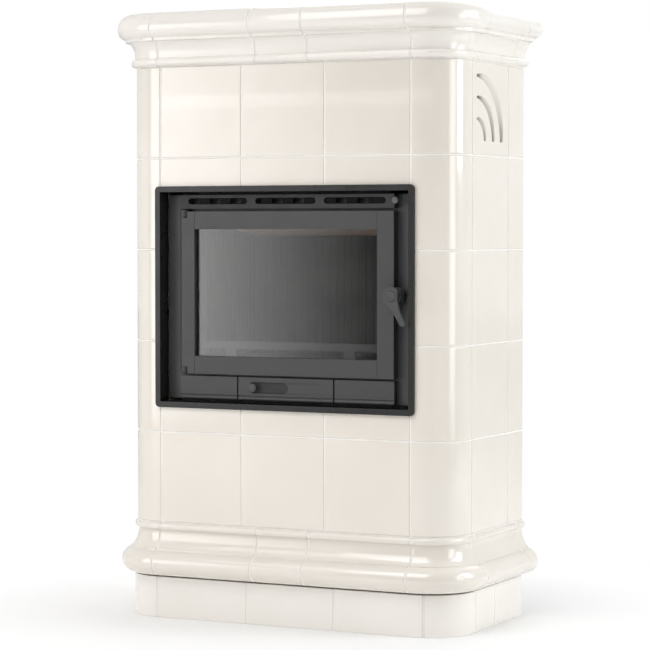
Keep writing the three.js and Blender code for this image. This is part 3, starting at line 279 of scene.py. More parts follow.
def make_fireclay():
    material, tree, shader = new_material("fired_clay")
    grog = pattern(tree, "ShaderNodeTexVoronoi", 260)
    cloud = pattern(tree, "ShaderNodeTexNoise", 9, Detail=5)
    colour = ramp(tree, cloud.outputs["Fac"], [
        (0.30, (0.60, 0.50, 0.39)),
        (0.70, (0.70, 0.60, 0.48)),
    ])
    tree.links.new(colour, shader.inputs["Base Color"])
    shader.inputs["Roughness"].default_value = 0.9
    bump(tree, shader, grog.outputs["Distance"], 0.0004)
    return material


def make_board():
    """Pressed vermiculite: tan, with flakes in several tones."""
    material, tree, shader = new_material("vermiculite_board")
    flakes = pattern(tree, "ShaderNodeTexVoronoi", 330)
    colour = ramp(tree, flakes.outputs["Distance"], [
        (0.05, (0.520, 0.370, 0.290)),
        (0.45, (0.800, 0.590, 0.480)),
        (0.80, (0.880, 0.680, 0.570)),
    ])
    tree.links.new(colour, shader.inputs["Base Color"])
    shader.inputs["Roughness"].default_value = 0.9
    bump(tree, shader, flakes.outputs["Distance"], 0.0005)
    return material


MORTAR = make_mortar()
FIRECLAY = make_fireclay()
BOARD = make_board()

# %% [markdown]
# The linings seen through the glass look almost black. They are the same board with its
# colour pulled down to almost black, more so in clouds. Steel has satin or matt heat-proof
# paint. The comb behind the air slots is painted almost black, with its shine cut: painted
# shade for the dark slots. Its knob is painted lighter, a painted highlight.

# %% Darkened board and steel finishes
# Board pulled down to almost black, darker in clouds.
def make_darkened_board():
    material, tree, shader = new_material("darkened_board")
    cloud = pattern(tree, "ShaderNodeTexNoise", 7, Detail=6)
    colour = ramp(tree, cloud.outputs["Fac"], [(0.30, grey(0.035)), (0.75, (0.085, 0.082, 0.078))])
    tree.links.new(colour, shader.inputs["Base Color"])
    shader.inputs["Roughness"].default_value = 0.8
    grain = pattern(tree, "ShaderNodeTexNoise", 600, Detail=3)
    bump(tree, shader, grain.outputs["Fac"], 0.00012)
    return material


def make_stove_paint(name, low, high, roughness, relief):
    """Heat-proof paint on steel: matt to satin, with a fine sprayed grain."""
    material, tree, shader = new_material(name)
    grain = pattern(tree, "ShaderNodeTexNoise", 1400, Detail=2)
    colour = ramp(tree, grain.outputs["Fac"], [(0.3, low), (0.7, high)])
    tree.links.new(colour, shader.inputs["Base Color"])
    cloud = pattern(tree, "ShaderNodeTexNoise", 22, Detail=3)
    spread = ramp(tree, cloud.outputs["Fac"], [
        (0.35, grey(roughness - 0.04)),
        (0.65, grey(roughness + 0.05)),
    ])
    tree.links.new(spread, shader.inputs["Roughness"])
    bump(tree, shader, grain.outputs["Fac"], relief)
    return material


PAINT = make_stove_paint("satin_stove_paint", grey(0.041), grey(0.053), 0.42, 0.00004)
TRIM_PAINT = make_stove_paint("satin_black_paint", grey(0.008), grey(0.012), 0.30, 0.00003)
DARK_PAINT_AND_PAINTED_SHADE = make_stove_paint("matt_black_paint_and_painted_shade", grey(0.017), grey(0.024), 0.55, 0.00006)
CASTING_PAINT_AND_PAINTED_HIGHLIGHT = make_stove_paint("painted_casting_and_painted_highlight", grey(0.048), grey(0.064), 0.44, 0.00022)
IRON = make_stove_paint("raw_cast_iron", grey(0.050), grey(0.085), 0.6, 0.00035)
# Almost black, with its shine cut: painted shade for the comb in the dark air slots.
COMB_PAINTED_SHADE = make_stove_paint("comb_painted_shade", grey(0.003), grey(0.006), 0.7, 0.00006)
PAINTED_SHADE_SHINE = 0.15
COMB_PAINTED_SHADE.node_tree.nodes["Principled BSDF"].inputs["Specular IOR Level"].default_value = PAINTED_SHADE_SHINE
# Lighter paint for the comb's knob: a painted highlight.
KNOB_PAINTED_LIGHT = make_stove_paint("knob_painted_light", grey(0.085), grey(0.120), 0.36, 0.00006)


def make_zinc():
    """Zinc-coated sheet, whose crystals show as flat spangles."""
    material, tree, shader = new_material("zinc_coated_sheet")
    spangle = pattern(tree, "ShaderNodeTexVoronoi", 70)
    colour = ramp(tree, spangle.outputs["Color"], [(0.2, grey(0.42)), (0.8, grey(0.60))])
    tree.links.new(colour, shader.inputs["Base Color"])
    shader.inputs["Metallic"].default_value = 0.85
    rough = ramp(tree, spangle.outputs["Color"], [(0.2, grey(0.32)), (0.8, grey(0.46))])
    tree.links.new(rough, shader.inputs["Roughness"])
    return material


def make_glass():
    """Heat-proof glass ceramic: clear, faintly smoky, reflecting on both faces."""
    material, tree, shader = new_material("stove_glass")
    shader.inputs["Base Color"].default_value = (0.90, 0.90, 0.89, 1)
    shader.inputs["Transmission Weight"].default_value = 1.0
    shader.inputs["Roughness"].default_value = 0.0
    shader.inputs["IOR"].default_value = 1.6
    return material


def make_rope():
    """Glass-fibre rope with a plaited surface."""
    material, tree, shader = new_material("fibre_rope")
    plait = pattern(tree, "ShaderNodeTexWave", 90, Distortion=3, Detail=2)
    colour = ramp(tree, plait.outputs["Fac"], [(0.2, grey(0.10)), (0.8, (0.30, 0.29, 0.27))])
    tree.links.new(colour, shader.inputs["Base Color"])
    shader.inputs["Roughness"].default_value = 0.95
    bump(tree, shader, plait.outputs["Fac"], 0.0008)
    return material


DARKENED_BOARD = make_darkened_board()
ZINC = make_zinc()
GLASS = make_glass()
ROPE = make_rope()
print("materials:", len(bpy.data.materials))

# %% [markdown]
# ## Flat tiles
#
# A stove tile is a tray: a glazed face with a deep rim behind it that the mortar grips. The
# solids meet almost edge to edge, but the eye sees a white joint about three millimetres
# wide between softly rounded edges, so each tile here is a little smaller than its solid.

# %% Flat tiles
MORTAR_JOINT = 3 * MM
TILE_EDGE = 2.8 * MM  # rounding of a tile's edge
TILE_FACE = 12 * MM
TILE_RIM = 9 * MM
NEAR = 0.01 * MM  # what still counts as lying in a plane


def hollow_back(tile, is_back, rim=TILE_RIM):
    """Sinks the back of a solid tile, which leaves a rim all round."""
    pick(tile, "FACE", is_back)
    bpy.ops.mesh.inset(thickness=rim, use_even_offset=True)
    depth = TILE_FACE - TILE_DEPTH
    bpy.ops.mesh.extrude_region_shrink_fatten(
        TRANSFORM_OT_shrink_fatten={"value": depth, "use_even_offset": True}
    )


def round_face(tile, is_front):
    """Rounds the edges between a tile's glazed face and its rim."""
    def on_border(edge):
        return edge.calc_face_angle(0) > 1 and all(is_front(v.co) for v in edge.verts)

    pick(tile, "EDGE", on_border)
    bpy.ops.mesh.bevel(offset=TILE_EDGE, segments=4, profile=0.6, affect="EDGES")


def flat_tile(name, low_x, high_x, low_z, high_z):
    """A tile in the front, between its joints' middle lines."""
    half = MORTAR_JOINT / 2
    tile = block(name, (low_x + half, FACE_Y, low_z + half),
                 (high_x - half, FACE_Y + TILE_DEPTH, high_z - half))
    hollow_back(tile, lambda face: face.normal.y > 0.9)
    round_face(tile, lambda co: co.y < FACE_Y + NEAR)
    return settle(tile)


def front_tiles():
    made = 0
    for row in (1, 2, 4, 5):
        for column in ("left", "centre", "right"):
            node = f"front_tile_{row}_{column}"
            low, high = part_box(node)
            edges = [low.x - JOINT / 2, high.x + JOINT / 2, low.z - JOINT / 2, high.z + JOINT / 2]
            tile = flat_tile(f"tile_{row}_{column}", *edges)
            finish_piece(tile, GLAZE, replaces=[node])
            made += 1
    print("front tiles:", made)


front_tiles()

# %% [markdown]
# The side tiles are the same pieces turned a quarter. A tile is made at the front, where it
# is easy to reason about, and then turned about the vertical and moved to the side.

# %% Side tiles
def to_side(tile, y_middle):
    """Turns a front tile made round X = 0 into the right-hand side wall."""
    tile.rotation_euler.z = math.pi / 2
    tile.location = (SIDE_X + FACE_Y, y_middle, 0)
    return settle(tile)


def side_tile(name, low_y, high_y, low_z, high_z):
    half = (high_y - low_y) / 2
    tile = flat_tile(name, -half, half, low_z, high_z)
    return to_side(tile, (low_y + high_y) / 2)


def side_wall():
    courses = []
    for row in range(1, 5):
        low_z = ROWS_HIGH - (row + 1) * TILE
        for low_y, high_y in ((SIDE_JOINT_Y, NARROW_JOINT_Y), (NARROW_JOINT_Y, REAR_Y)):
            courses.append(side_tile(f"course_{row}", low_y, high_y, low_z, low_z + TILE))
    right = joined("side_courses_right", courses)
    left = mirrored(right, "side_courses_left")
    finish_piece(right, GLAZE, replaces=["side_tiles_right"])
    finish_piece(left, GLAZE, replaces=["side_tiles_left"])


side_wall()

# %% [markdown]
# The upper side tile lets warm air out through three curved slots that grow from a point at
# the top to their widest near the bottom. Each is cut with a block whose outline follows an
# arc: its outer wall leans back as it comes forward, and its lip is soft under the glaze.

# %% Vent tiles
VENT_RADII = (50 * MM, 100 * MM, 150 * MM)
VENT_WIDTHS = (12 * MM, 15 * MM, 17 * MM)
VENT_IN = 25 * MM  # the arcs' centre from the tile's front edge
VENT_UP = 35 * MM  # the arcs' centre from the tile's lower edge
VENT_STEPS = 28
VENT_LEANS = (5 * MM, 6 * MM, 14 * MM)  # how far each slot's outer wall leans back
VENT_DEPTH = 13  # depth in millimetres at which that wall stands where the slot's arc is
VENT_GROWTH = (0.045, 0.655)  # the slot's width is a sine: where it starts, and how far it runs
# Steps from outside the face inwards: (place beyond the face, extra half width), millimetres.
VENT_LIPS = ((1.0, 1.6), (-0.2, 1.2), (-1.4, 0.6), (-3.2, 0.1), (-13.0, 0.0), (-16.0, 0.0))


def vent_outline(radius, width, lip, lean, centre_y, centre_z):
    """The slot's outline in the side wall, up its outer arc and back along the inner one."""
    outer, inner = [], []
    start, run = VENT_GROWTH
    for i in range(VENT_STEPS + 1):
        t = i / VENT_STEPS
        angle = math.pi / 2 * (1 - t)
        half = width / 2 * math.sin(math.pi * (start + run * t)) + lip
        far = radius + half + lean * math.sin(math.pi * t)
        for line, r in ((outer, far), (inner, radius - half)):
            line.append((centre_y + r * math.cos(angle), centre_z + r * math.sin(angle)))
    return outer + inner[::-1]


def vent_cutter(radius, width, lean, centre_y, centre_z):
    """A circle reshaped into the slot's outline, then extruded inwards step by step.

    After each step, a moved point goes to where its own point lies in the next outline.
    """
    outlines = []
    for depth, lip in VENT_LIPS:
        share = max(1 + depth / VENT_DEPTH, 0)
        outline = vent_outline(radius, width, lip * MM, lean * share, centre_y, centre_z)
        outlines.append((SIDE_X + depth * MM, outline))
    bpy.ops.object.select_all(action="DESELECT")
    bpy.ops.mesh.primitive_circle_add(vertices=len(outlines[0][1]), fill_type="NGON")
    cutter = bpy.context.object
    for vertex, (y, z) in zip(cutter.data.vertices, outlines[0][1]):
        vertex.co = (outlines[0][0], y, z)
    only(cutter)
    for (_, before), (x, outline) in zip(outlines, outlines[1:]):
        bpy.ops.object.mode_set(mode="EDIT")
        bpy.ops.mesh.select_all(action="DESELECT")
        bpy.ops.mesh.select_mode(type="FACE")
        mesh = bmesh.from_edit_mesh(cutter.data)
        mesh.faces.ensure_lookup_table()
        last = min(mesh.faces, key=lambda face: face.calc_center_median().x)
        cap = last if len(last.verts) == len(outline) else mesh.faces[-1]
        cap.select_set(True)
        bmesh.update_edit_mesh(cutter.data)
        bpy.ops.mesh.extrude_region_move()
        mesh = bmesh.from_edit_mesh(cutter.data)
        moved = [face for face in mesh.faces if face.select][0]
        for vertex in moved.verts:
            gaps = [math.hypot(y - vertex.co.y, z - vertex.co.z) for y, z in before]
            vertex.co = (x, *outline[gaps.index(min(gaps))])
        bmesh.update_edit_mesh(cutter.data)
        bpy.ops.object.mode_set(mode="OBJECT")
    bpy.ops.object.mode_set(mode="EDIT")
    bpy.ops.mesh.select_all(action="SELECT")
    bpy.ops.mesh.normals_make_consistent(inside=False)
    bpy.ops.object.mode_set(mode="OBJECT")
    return cutter


def vent_wall():
    """The upper course of each side: the tile with the slots and the narrow tile behind it."""
    low_z = ROWS_HIGH - TILE
    whole = side_tile("vent", SIDE_JOINT_Y, NARROW_JOINT_Y, low_z, ROWS_HIGH)
    for radius, width, lean in zip(VENT_RADII, VENT_WIDTHS, VENT_LEANS):
        cutter = vent_cutter(radius, width, lean, SIDE_JOINT_Y + VENT_IN, low_z + VENT_UP)
        modify(whole, "BOOLEAN", operation="DIFFERENCE", solver="EXACT", object=cutter)
        bpy.data.objects.remove(cutter)
    settle(whole, 40)
    narrow = side_tile("narrow", NARROW_JOINT_Y, REAR_Y, low_z, ROWS_HIGH)
    right = joined("vent_wall_right", [whole, narrow])
    left = mirrored(right, "vent_wall_left")
    finish_piece(right, GLAZE, replaces=["vent_tile_right"])
    finish_piece(left, GLAZE, replaces=["vent_tile_left"])
    print("vent tiles:", len(right.data.polygons), "faces each")


vent_wall()

# %% [markdown]
# ## Rounded corner tiles
#
# A corner tile is a flat tile bent through a quarter turn, with a short straight leg at each
# end. It is made as a potter's die would sweep it: one end block, its end face spun round
# the corner's axis, and the last face pulled straight again.

# %% Corner tiles
SPIN_STEPS = 20
CORNER_RIM = 6 * MM  # its straight legs are too short for a flat tile's rim
CORNER_CENTRE = Vector((ARC_X, FACE_Y + CORNER_RADIUS, 0))


def beyond_face(co):
    """How far a point stands outside the line of the tiles' faces, in plan."""
    if co.x < ARC_X:
        return FACE_Y - co.y
    if co.y > CORNER_CENTRE.y:
        return co.x - SIDE_X
    return math.hypot(co.x - CORNER_CENTRE.x, co.y - CORNER_CENTRE.y) - CORNER_RADIUS


def corner_tile(name, low_z, high_z):
    half = MORTAR_JOINT / 2
    start_x = TILE * 1.5 + half
    tile = block(name, (start_x, FACE_Y, low_z + half), (ARC_X, FACE_Y + TILE_DEPTH, high_z - half))
    pick(tile, "FACE", lambda face: face.normal.x > 0.9)
    bpy.ops.mesh.spin(steps=SPIN_STEPS, angle=math.pi / 2, center=CORNER_CENTRE, axis=(0, 0, -1))
    leg = SIDE_JOINT_Y - half - CORNER_CENTRE.y
    bpy.ops.mesh.extrude_region_move(TRANSFORM_OT_translate={"value": (0, leg, 0)})

    def is_back(face):
        return beyond_face(face.calc_center_median()) < -TILE_DEPTH + MM

    hollow_back(tile, is_back, CORNER_RIM)
    round_face(tile, lambda co: beyond_face(co) > -NEAR)
    return settle(tile)


def corner_tiles():
    for row in range(1, 6):
        low_z = ROWS_HIGH - row * TILE
        right = corner_tile(f"corner_{row}_right", low_z, low_z + TILE)
        left = mirrored(right, f"corner_{row}_left")
        finish_piece(right, GLAZE, replaces=[f"corner_tile_{row}_right"])
        finish_piece(left, GLAZE, replaces=[f"corner_tile_{row}_left"])


corner_tiles()

# %% [markdown]
# ## Mouldings
#
# The crown, the base and the plinth are runs of short pressed pieces. A run's section is
# drawn once, from arcs and lines, as points (outwards, upwards). The section is then pulled
# along the wall, spun round the corner and pulled again, and its ends are rounded over where
# the next piece's joint begins.

# %% Drawing a section
def arc(out, up, radius_out, radius_up, start, end, steps=10):
    """Points of an elliptic arc in a section, from one angle to another, in degrees."""
    points = []
    for i in range(steps + 1):
        angle = math.radians(start + (end - start) * i / steps)
        points.append((out + radius_out * math.cos(angle), up + radius_up * math.sin(angle)))
    return points


def curve(start, control, end, steps=10):
    """Points of a quadratic curve, without its two ends."""
    points = []
    for i in range(1, steps):
        t = i / steps
        points.append(tuple(
            (1 - t) ** 2 * a + 2 * t * (1 - t) * b + t * t * c
            for a, b, c in zip(start, control, end)
        ))
    return points


CROWN_Z = ROWS_HIGH
BASE_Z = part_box("base_moulding_front")[0].z - JOINT / 2

# Sections in millimetres, from the foot of the outside round to the inside.
CROWN = (
    [(-18, 1.5), (1, 1.5)]
    + arc(4, 11, 9.5, 9.3, -88, 90, 14)  # bead
    + [(4.2, 21), (4, 24)]
    + curve((4, 24), (5, 50), (18, 60), 12)  # cove
    + [(18, 60), (27, 61.4), (27.5, 62), (27.5, 68)]
    + arc(27, 92, 19.5, 23, -82, 0, 12)  # bullnose
    + arc(15, 92, 31.5, 36, 4, 90, 16)
    + [(-28, 128), (-28, 116), (-40, 116), (-40, 104)]  # ledge that carries the slab
    + [(9.5, 106), (27.5, 94), (9.5, 75), (-12, 54)]  # inside
)
BASE = (
    [(-10, 1.5), (6, 1.5)]
    + arc(8, 33, 31.5, 31, -86, 69, 22)  # torus
    + [(15.6, 63.5), (15.4, 65.8)]
    + curve((15.4, 65.8), (1.5, 78), (-2, 104), 12)  # cove
    + [(-2, 104), (-2, 111.5)]
    + arc(0, 120.2, 6.5, 8.3, -88, 88, 14)  # bead
    + [(-14, 128.5), (-16, 84), (20, 46), (20, 20), (-10, 12)]  # inside
)
PLINTH_OUT, PLINTH_WALL = 7, 18
PLINTH = [
    (PLINTH_OUT - PLINTH_WALL, 0), (PLINTH_OUT - 1, 0), (PLINTH_OUT, 1), (PLINTH_OUT, 96.5),
    (PLINTH_OUT - 0.6, 97.9), (PLINTH_OUT - 2, 98.5), (PLINTH_OUT - PLINTH_WALL, 98.5),
]

# %% [markdown]
# A run is described by its distance along the wall: from the middle of the front, round the
# corner and back along the side. The helper splits that distance into a straight, an arc and
# a straight, and uses an extrusion or a spin for each.

# %% Pulling a section along the wall
def side_distance(y):
    """Distance along the wall to a place on the right side."""
    return ARC_X + ARC_LENGTH + y - CORNER_CENTRE.y


def section_face(name, section, base_z, distance):
    """A filled circle whose points are moved to the section, standing across the wall."""
    bpy.ops.object.select_all(action="DESELECT")
    bpy.ops.mesh.primitive_circle_add(vertices=len(section), fill_type="NGON")
    face = bpy.context.object
    face.name = name
    turn = min(max(distance - ARC_X, 0) / CORNER_RADIUS, math.pi / 2)
    outwards = Vector((math.sin(turn), -math.cos(turn), 0))
    foot = CORNER_CENTRE + outwards * CORNER_RADIUS
    if distance < ARC_X:
        foot.x = distance
    foot.y += max(distance - ARC_X - ARC_LENGTH, 0)
    for vertex, (out, up) in zip(face.data.vertices, section):
        vertex.co = foot + outwards * (out * MM) + Vector((0, 0, base_z + up * MM))
    return face


def pull(face, start, end):
    """Pulls the selected face along the wall, from one distance to another."""
    pick(face, "FACE", lambda part: True)
    stops = [start, ARC_X, ARC_X + ARC_LENGTH, end]
    front = min(end, ARC_X) - start
    if front > 0:
        bpy.ops.mesh.extrude_region_move(TRANSFORM_OT_translate={"value": (front, 0, 0)})
    bent = min(end, stops[2]) - max(start, ARC_X)
    if bent > 0:
        angle = bent / CORNER_RADIUS
        steps = max(2, round(SPIN_STEPS * bent / ARC_LENGTH))
        bpy.ops.mesh.spin(steps=steps, angle=angle, center=CORNER_CENTRE, axis=(0, 0, -1))
    side = end - max(start, stops[2])
    if side > 0:
        bpy.ops.mesh.extrude_region_move(TRANSFORM_OT_translate={"value": (0, side, 0)})
    bpy.ops.mesh.select_all(action="SELECT")
    bpy.ops.mesh.normals_make_consistent(inside=False)


END_ROUND = ((0.5 * MM, 1.0 * MM), (1.0 * MM, 0.5 * MM))  # (thickness, depth) of each inset
MORTAR_BACK = 0.9 * MM  # how far the mortar lies inside the pieces' outline


def run_piece(name, section, base_z, start, end, open_end=False):
    """One pressed piece of a run, whose ends are rounded over by two insets each."""
    reach = MORTAR_JOINT / 2 + sum(depth for _, depth in END_ROUND)
    first = start + reach
    last = end if open_end else end - reach
    piece = section_face(name, section, base_z, first)
    pull(piece, first, last)
    count = len(section)
    for thickness, depth in END_ROUND:
        def is_cap(part):
            if len(part.verts) != count:
                return False
            return not (open_end and part.calc_center_median().y > REAR_Y - 2 * MM)

        pick(piece, "FACE", is_cap)
        bpy.ops.mesh.inset(thickness=thickness, depth=depth, use_individual=True)
    bpy.ops.object.mode_set(mode="OBJECT")
    return settle(piece, 32)


def mortar_slice(name, section, base_z, distance):
    """The mortar in a run's joint: a thin slice of the section, a little smaller."""
    half = MORTAR_JOINT / 2
    piece = section_face(name, section, base_z, distance - half)
    pick(piece, "FACE", lambda part: True)
    bpy.ops.mesh.inset(thickness=MORTAR_BACK)
    bpy.ops.mesh.select_all(action="INVERT")
    bpy.ops.mesh.delete(type="FACE")
    pull(piece, distance - half, distance + half)
    bpy.ops.object.mode_set(mode="OBJECT")
    return settle(piece, 40)


# %% [markdown]
# The crown and the base each have a front run and two side runs that take in the corners.
# Joints are placed as on the real stove: the front mouldings don't line up with the tiles
# above or below them.

# %% Crown and base
MOULD_END = 334 * MM  # from the middle to where the corner piece starts


def moulding(node, glaze, section, base_z, front_joint, side_joints):
    """Makes the front run and the two side runs, with the mortar between their pieces."""
    stops = [-MOULD_END, -front_joint, front_joint, MOULD_END]
    front = [
        run_piece(f"{node}_piece", section, base_z, a, b) for a, b in zip(stops, stops[1:])
    ]
    finish_piece(joined(f"{node}_run_front", front), glaze, replaces=[f"{node}_front"])
    stops = [MOULD_END, *(side_distance(FACE_Y + y) for y in side_joints), side_distance(REAR_Y)]
    pieces = [
        run_piece(f"{node}_piece", section, base_z, a, b, open_end=b == stops[-1])
        for a, b in zip(stops, stops[1:])
    ]
    right = joined(f"{node}_run_right", pieces)
    left = mirrored(right, f"{node}_run_left")
    finish_piece(right, glaze, replaces=[f"{node}_right"])
    finish_piece(left, glaze, replaces=[f"{node}_left"])
    slices = [mortar_slice("slice", section, base_z, d) for d in stops[:-1]]
    slices += [mirrored(piece, "slice") for piece in slices]
    slices += [mortar_slice("slice", section, base_z, x) for x in (-front_joint, front_joint)]
    finish_piece(joined(f"{node}_mortar", slices), MORTAR)
    print(node, "run:", len(right.data.polygons), "faces a side")


# The crown takes the paler copy of the glaze, which is painted light.
moulding("crown", GLAZE_PAINTED_LIGHTER, CROWN, CROWN_Z, 69 * MM, (106 * MM, 354 * MM))
moulding("base_moulding", GLAZE, BASE, BASE_Z, 68 * MM, (116 * MM, 378 * MM))

# %% [markdown]
# The plinth is one course of flat pieces that stops a little short of the wall.

# %% Plinth
PLINTH_FRONT = (-338 * MM, -94 * MM, 137 * MM, 364 * MM)  # joints along the front
PLINTH_SIDES = (116 * MM, 232 * MM)  # and along each side, from the tiles' faces


def plinth():
    def run(stops):
        return [run_piece("plinth_piece", PLINTH, 0, a, b) for a, b in zip(stops, stops[1:])]

    far_left, near_left, *front = PLINTH_FRONT
    rear = side_distance(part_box("plinth")[1].y)
    sides = [side_distance(FACE_Y + y) for y in PLINTH_SIDES]
    right_stops = [near_left, *front, *sides, rear]
    left_stops = [-far_left, *sides, rear]  # counted to the left, and mirrored below
    right = run(right_stops)
    left = run(left_stops)
    middle = run([far_left, near_left])
    pieces = right + middle + [mirrored(piece, "plinth_piece") for piece in left]
    for piece in left:
        bpy.data.objects.remove(piece)
    course = joined("plinth_course", pieces)
    # The plinth takes the paler copy of the glaze, which is painted light.
    finish_piece(course, GLAZE_PAINTED_LIGHTER, replaces=["plinth"])
    slices = [mortar_slice("slice", PLINTH, 0, d) for d in right_stops[:-1]]
    made = [mortar_slice("slice", PLINTH, 0, d) for d in left_stops[:-1]]
    slices += [mirrored(piece, "slice") for piece in made]
    for piece in made:
        bpy.data.objects.remove(piece)
    finish_piece(joined("plinth_mortar", slices), MORTAR)


plinth()

# %% [markdown]
# ## Mortar between the tiles
#
# The mortar lies a little behind the tiles' faces. Level joints run round the corners,
# so they are pulled along the wall like a moulding; upright joints are strips whose face is
# pressed in along the middle, as a finger leaves it.

# %% Level and upright joints
MORTAR_IN = 1.4 * MM  # how far its edges lie behind the tiles' faces
MORTAR_PRESS = 0.3 * MM  # and how much further its middle line is pressed in
MORTAR_DEEP = 12 * MM
INSERT_LAP = 8 * MM  # how far upright joints run on behind the insert's trim


def level_section():
    half = MORTAR_JOINT / 2 / MM
    return [
        (-MORTAR_DEEP / MM, -half), (-MORTAR_IN / MM, -half), ((-MORTAR_IN - MORTAR_PRESS) / MM, 0),
        (-MORTAR_IN / MM, half), (-MORTAR_DEEP / MM, half),
    ]


def level_joint(z, start, end):
    strip = section_face("joint", level_section(), z, start)
    pull(strip, start, end)
    bpy.ops.object.mode_set(mode="OBJECT")
    return settle(strip)


def upright_joint(x, low_z, high_z):
    """A strip in the front wall whose face is split along its middle and pressed in."""
    half = MORTAR_JOINT / 2
    strip = block("joint", (x - half, FACE_Y + MORTAR_IN, low_z),
                  (x + half, FACE_Y + MORTAR_DEEP, high_z))

    def runs_across(edge):
        a, b = (v.co for v in edge.verts)
        return abs(a.x - b.x) > MORTAR_JOINT / 2 and max(a.y, b.y) < FACE_Y + 2 * MORTAR_IN

    pick(strip, "EDGE", runs_across)
    bpy.ops.mesh.subdivide(number_cuts=1)
    pick(strip, "EDGE", lambda edge: all(abs(v.co.x - x) < MM / 4 for v in edge.verts))
    bpy.ops.transform.translate(value=(0, MORTAR_PRESS, 0))
    bpy.ops.object.mode_set(mode="OBJECT")
    return settle(strip)


def tile_mortar():
    half = MORTAR_JOINT / 2
    rear = side_distance(REAR_Y)
    rows = [ROWS_LOW + i * TILE for i in range(6)]
    beside_insert = TILE * 1.5 + half
    strips = []
    for z in rows:
        crosses_insert = TRIM_LOW.z < z < TRIM_HIGH.z
        start = beside_insert if crosses_insert else 0
        side = level_joint(z, start, rear)
        strips += [side, mirrored(side, "joint")]
    spans = [(rows[0], rows[1]), (rows[1], TRIM_LOW.z + INSERT_LAP),
             (TRIM_HIGH.z - INSERT_LAP, rows[4]), (rows[4], rows[5])]
    for low_z, high_z in spans:
        for x in (-1.5 * TILE, -0.5 * TILE, 0.5 * TILE, 1.5 * TILE):
            strips.append(upright_joint(x, low_z + half, high_z - half))
    for low_z, high_z in zip(rows, rows[1:]):
        for y in (SIDE_JOINT_Y, NARROW_JOINT_Y):
            side = to_side(upright_joint(0, low_z + half, high_z - half), y)
            strips += [side, mirrored(side, "joint")]
    finish_piece(joined("tile_mortar", strips), MORTAR)
    print("mortar strips:", len(strips))


tile_mortar()

# %% [markdown]
# ## Sheet steel
#
# The insert is folded and welded sheet. Its solids have the right shape but knife-sharp
# edges, and no real edge is that sharp: a bend has a radius and a cut edge is broken, and
# that is what catches the light. Each solid is copied, its loose triangles are merged into
# whole faces, and a narrow bevel goes round every edge that is not flat.

# %% Breaking the edges of sheet steel
FLAT_ANGLE = math.radians(1.5)  # triangles that meet at less are one face
SHARP_ANGLE = math.radians(28)  # edges that bend more are broken


def softened(node, width):
    """A copy of a solid with its sharp edges broken."""
    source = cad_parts[node]
    copy = source.copy()
    copy.data = source.data.copy()
    bpy.context.collection.objects.link(copy)
    copy.parent = None
    copy.matrix_world = Matrix.Identity(4)
    for key in list(copy.keys()):
        del copy[key]
    copy.name = f"{node}_soft"
    only(copy)
    bpy.ops.object.mode_set(mode="EDIT")
    bpy.ops.mesh.select_all(action="SELECT")
    bpy.ops.mesh.remove_doubles(threshold=NEAR)
    bpy.ops.mesh.dissolve_limited(angle_limit=FLAT_ANGLE)
    bpy.ops.object.mode_set(mode="OBJECT")
    modify(copy, "BEVEL", width=width, segments=2, limit_method="ANGLE",
           angle_limit=SHARP_ANGLE, use_clamp_overlap=True)
    return settle(copy, 35)


def soften(nodes, width, material, body="casing"):
    for node in nodes:
        finish_piece(softened(node, width), material, body, [node])


soften(["trim_frame"], 0.8 * MM, TRIM_PAINT)
soften(["front_plate"], 0.8 * MM, PAINT)
# The air bar gets the darker paint: painted shade under the trim's top.
soften(["air_bar"], 0.7 * MM, DARK_PAINT_AND_PAINTED_SHADE)
soften(["lower_cover_left", "lower_cover_right"], 0.7 * MM, PAINT)
soften(["ash_drawer"], 0.5 * MM, PAINT, "drawer")
# The slide's plate gets the darker paint: painted shade in the slot it shows through.
soften(["air_slide"], 0.8 * MM, DARK_PAINT_AND_PAINTED_SHADE, "primary_air")
# The comb is painted almost black with its shine cut: painted shade for the dark air slots.
soften(["air_comb"], 0.5 * MM, COMB_PAINTED_SHADE, "secondary_air")
soften(["door_frame"], 0.8 * MM, PAINT, "door")
soften(["door_handle"], 1.6 * MM, CASTING_PAINT_AND_PAINTED_HIGHLIGHT, "handle")
soften(["latch_spindle"], 0.6 * MM, DARK_PAINT_AND_PAINTED_SHADE, "handle")
soften(["glass_retainer"], 0.5 * MM, DARK_PAINT_AND_PAINTED_SHADE, "door")
soften(["rope_seal"], 1.2 * MM, ROPE, "door")
soften(["door_glass"], 0.4 * MM, GLASS, "door")
soften(["hinge_pin_top", "hinge_pin_bottom"], 0.5 * MM, DARK_PAINT_AND_PAINTED_SHADE)
soften(["log_guard"], 1.0 * MM, IRON)
soften(["top_slab"], 1.0 * MM, FIRECLAY)
soften(["side_lining_left", "side_lining_right", "rear_lining"], 0.5 * MM, DARKENED_BOARD)
soften(["baffle"], 0.8 * MM, BOARD)

# %% [markdown]
# The knobs are given lighter paint than the plates behind them, a painted highlight, and the
# wall of the track that the drawer's knob runs along is given darker paint, a painted shade,
# so that both can be made out as in the photograph.

# %% Painted highlight on the knobs and painted shade on the track wall
def second_finish(piece, material, chosen):
    """Gives the faces of a piece that are chosen by their centre a finish of their own."""
    mesh = bpy.data.objects[piece].data
    mesh.materials.append(material)
    for face in mesh.polygons:
        if chosen(face.center):
            face.material_index = 1


FRONT_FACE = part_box("air_bar")[0].y  # the bar, the covers and the drawer share one plane
TRACK_RIGHT = 95 * MM  # just beyond the track's right end
TRACK_WALL = (0.3 * MM, 2.2 * MM)  # depths between which a face's centre is on the track's wall


def on_track_wall(centre):
    low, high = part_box("air_slide")
    near, far = TRACK_WALL
    return (near < centre.y - FRONT_FACE < far
            and low.x < centre.x < TRACK_RIGHT and low.z < centre.z < high.z)


# The comb's knob faces get the lighter paint: a painted highlight.
second_finish("air_comb_soft", KNOB_PAINTED_LIGHT, lambda centre: centre.y < FRONT_FACE)
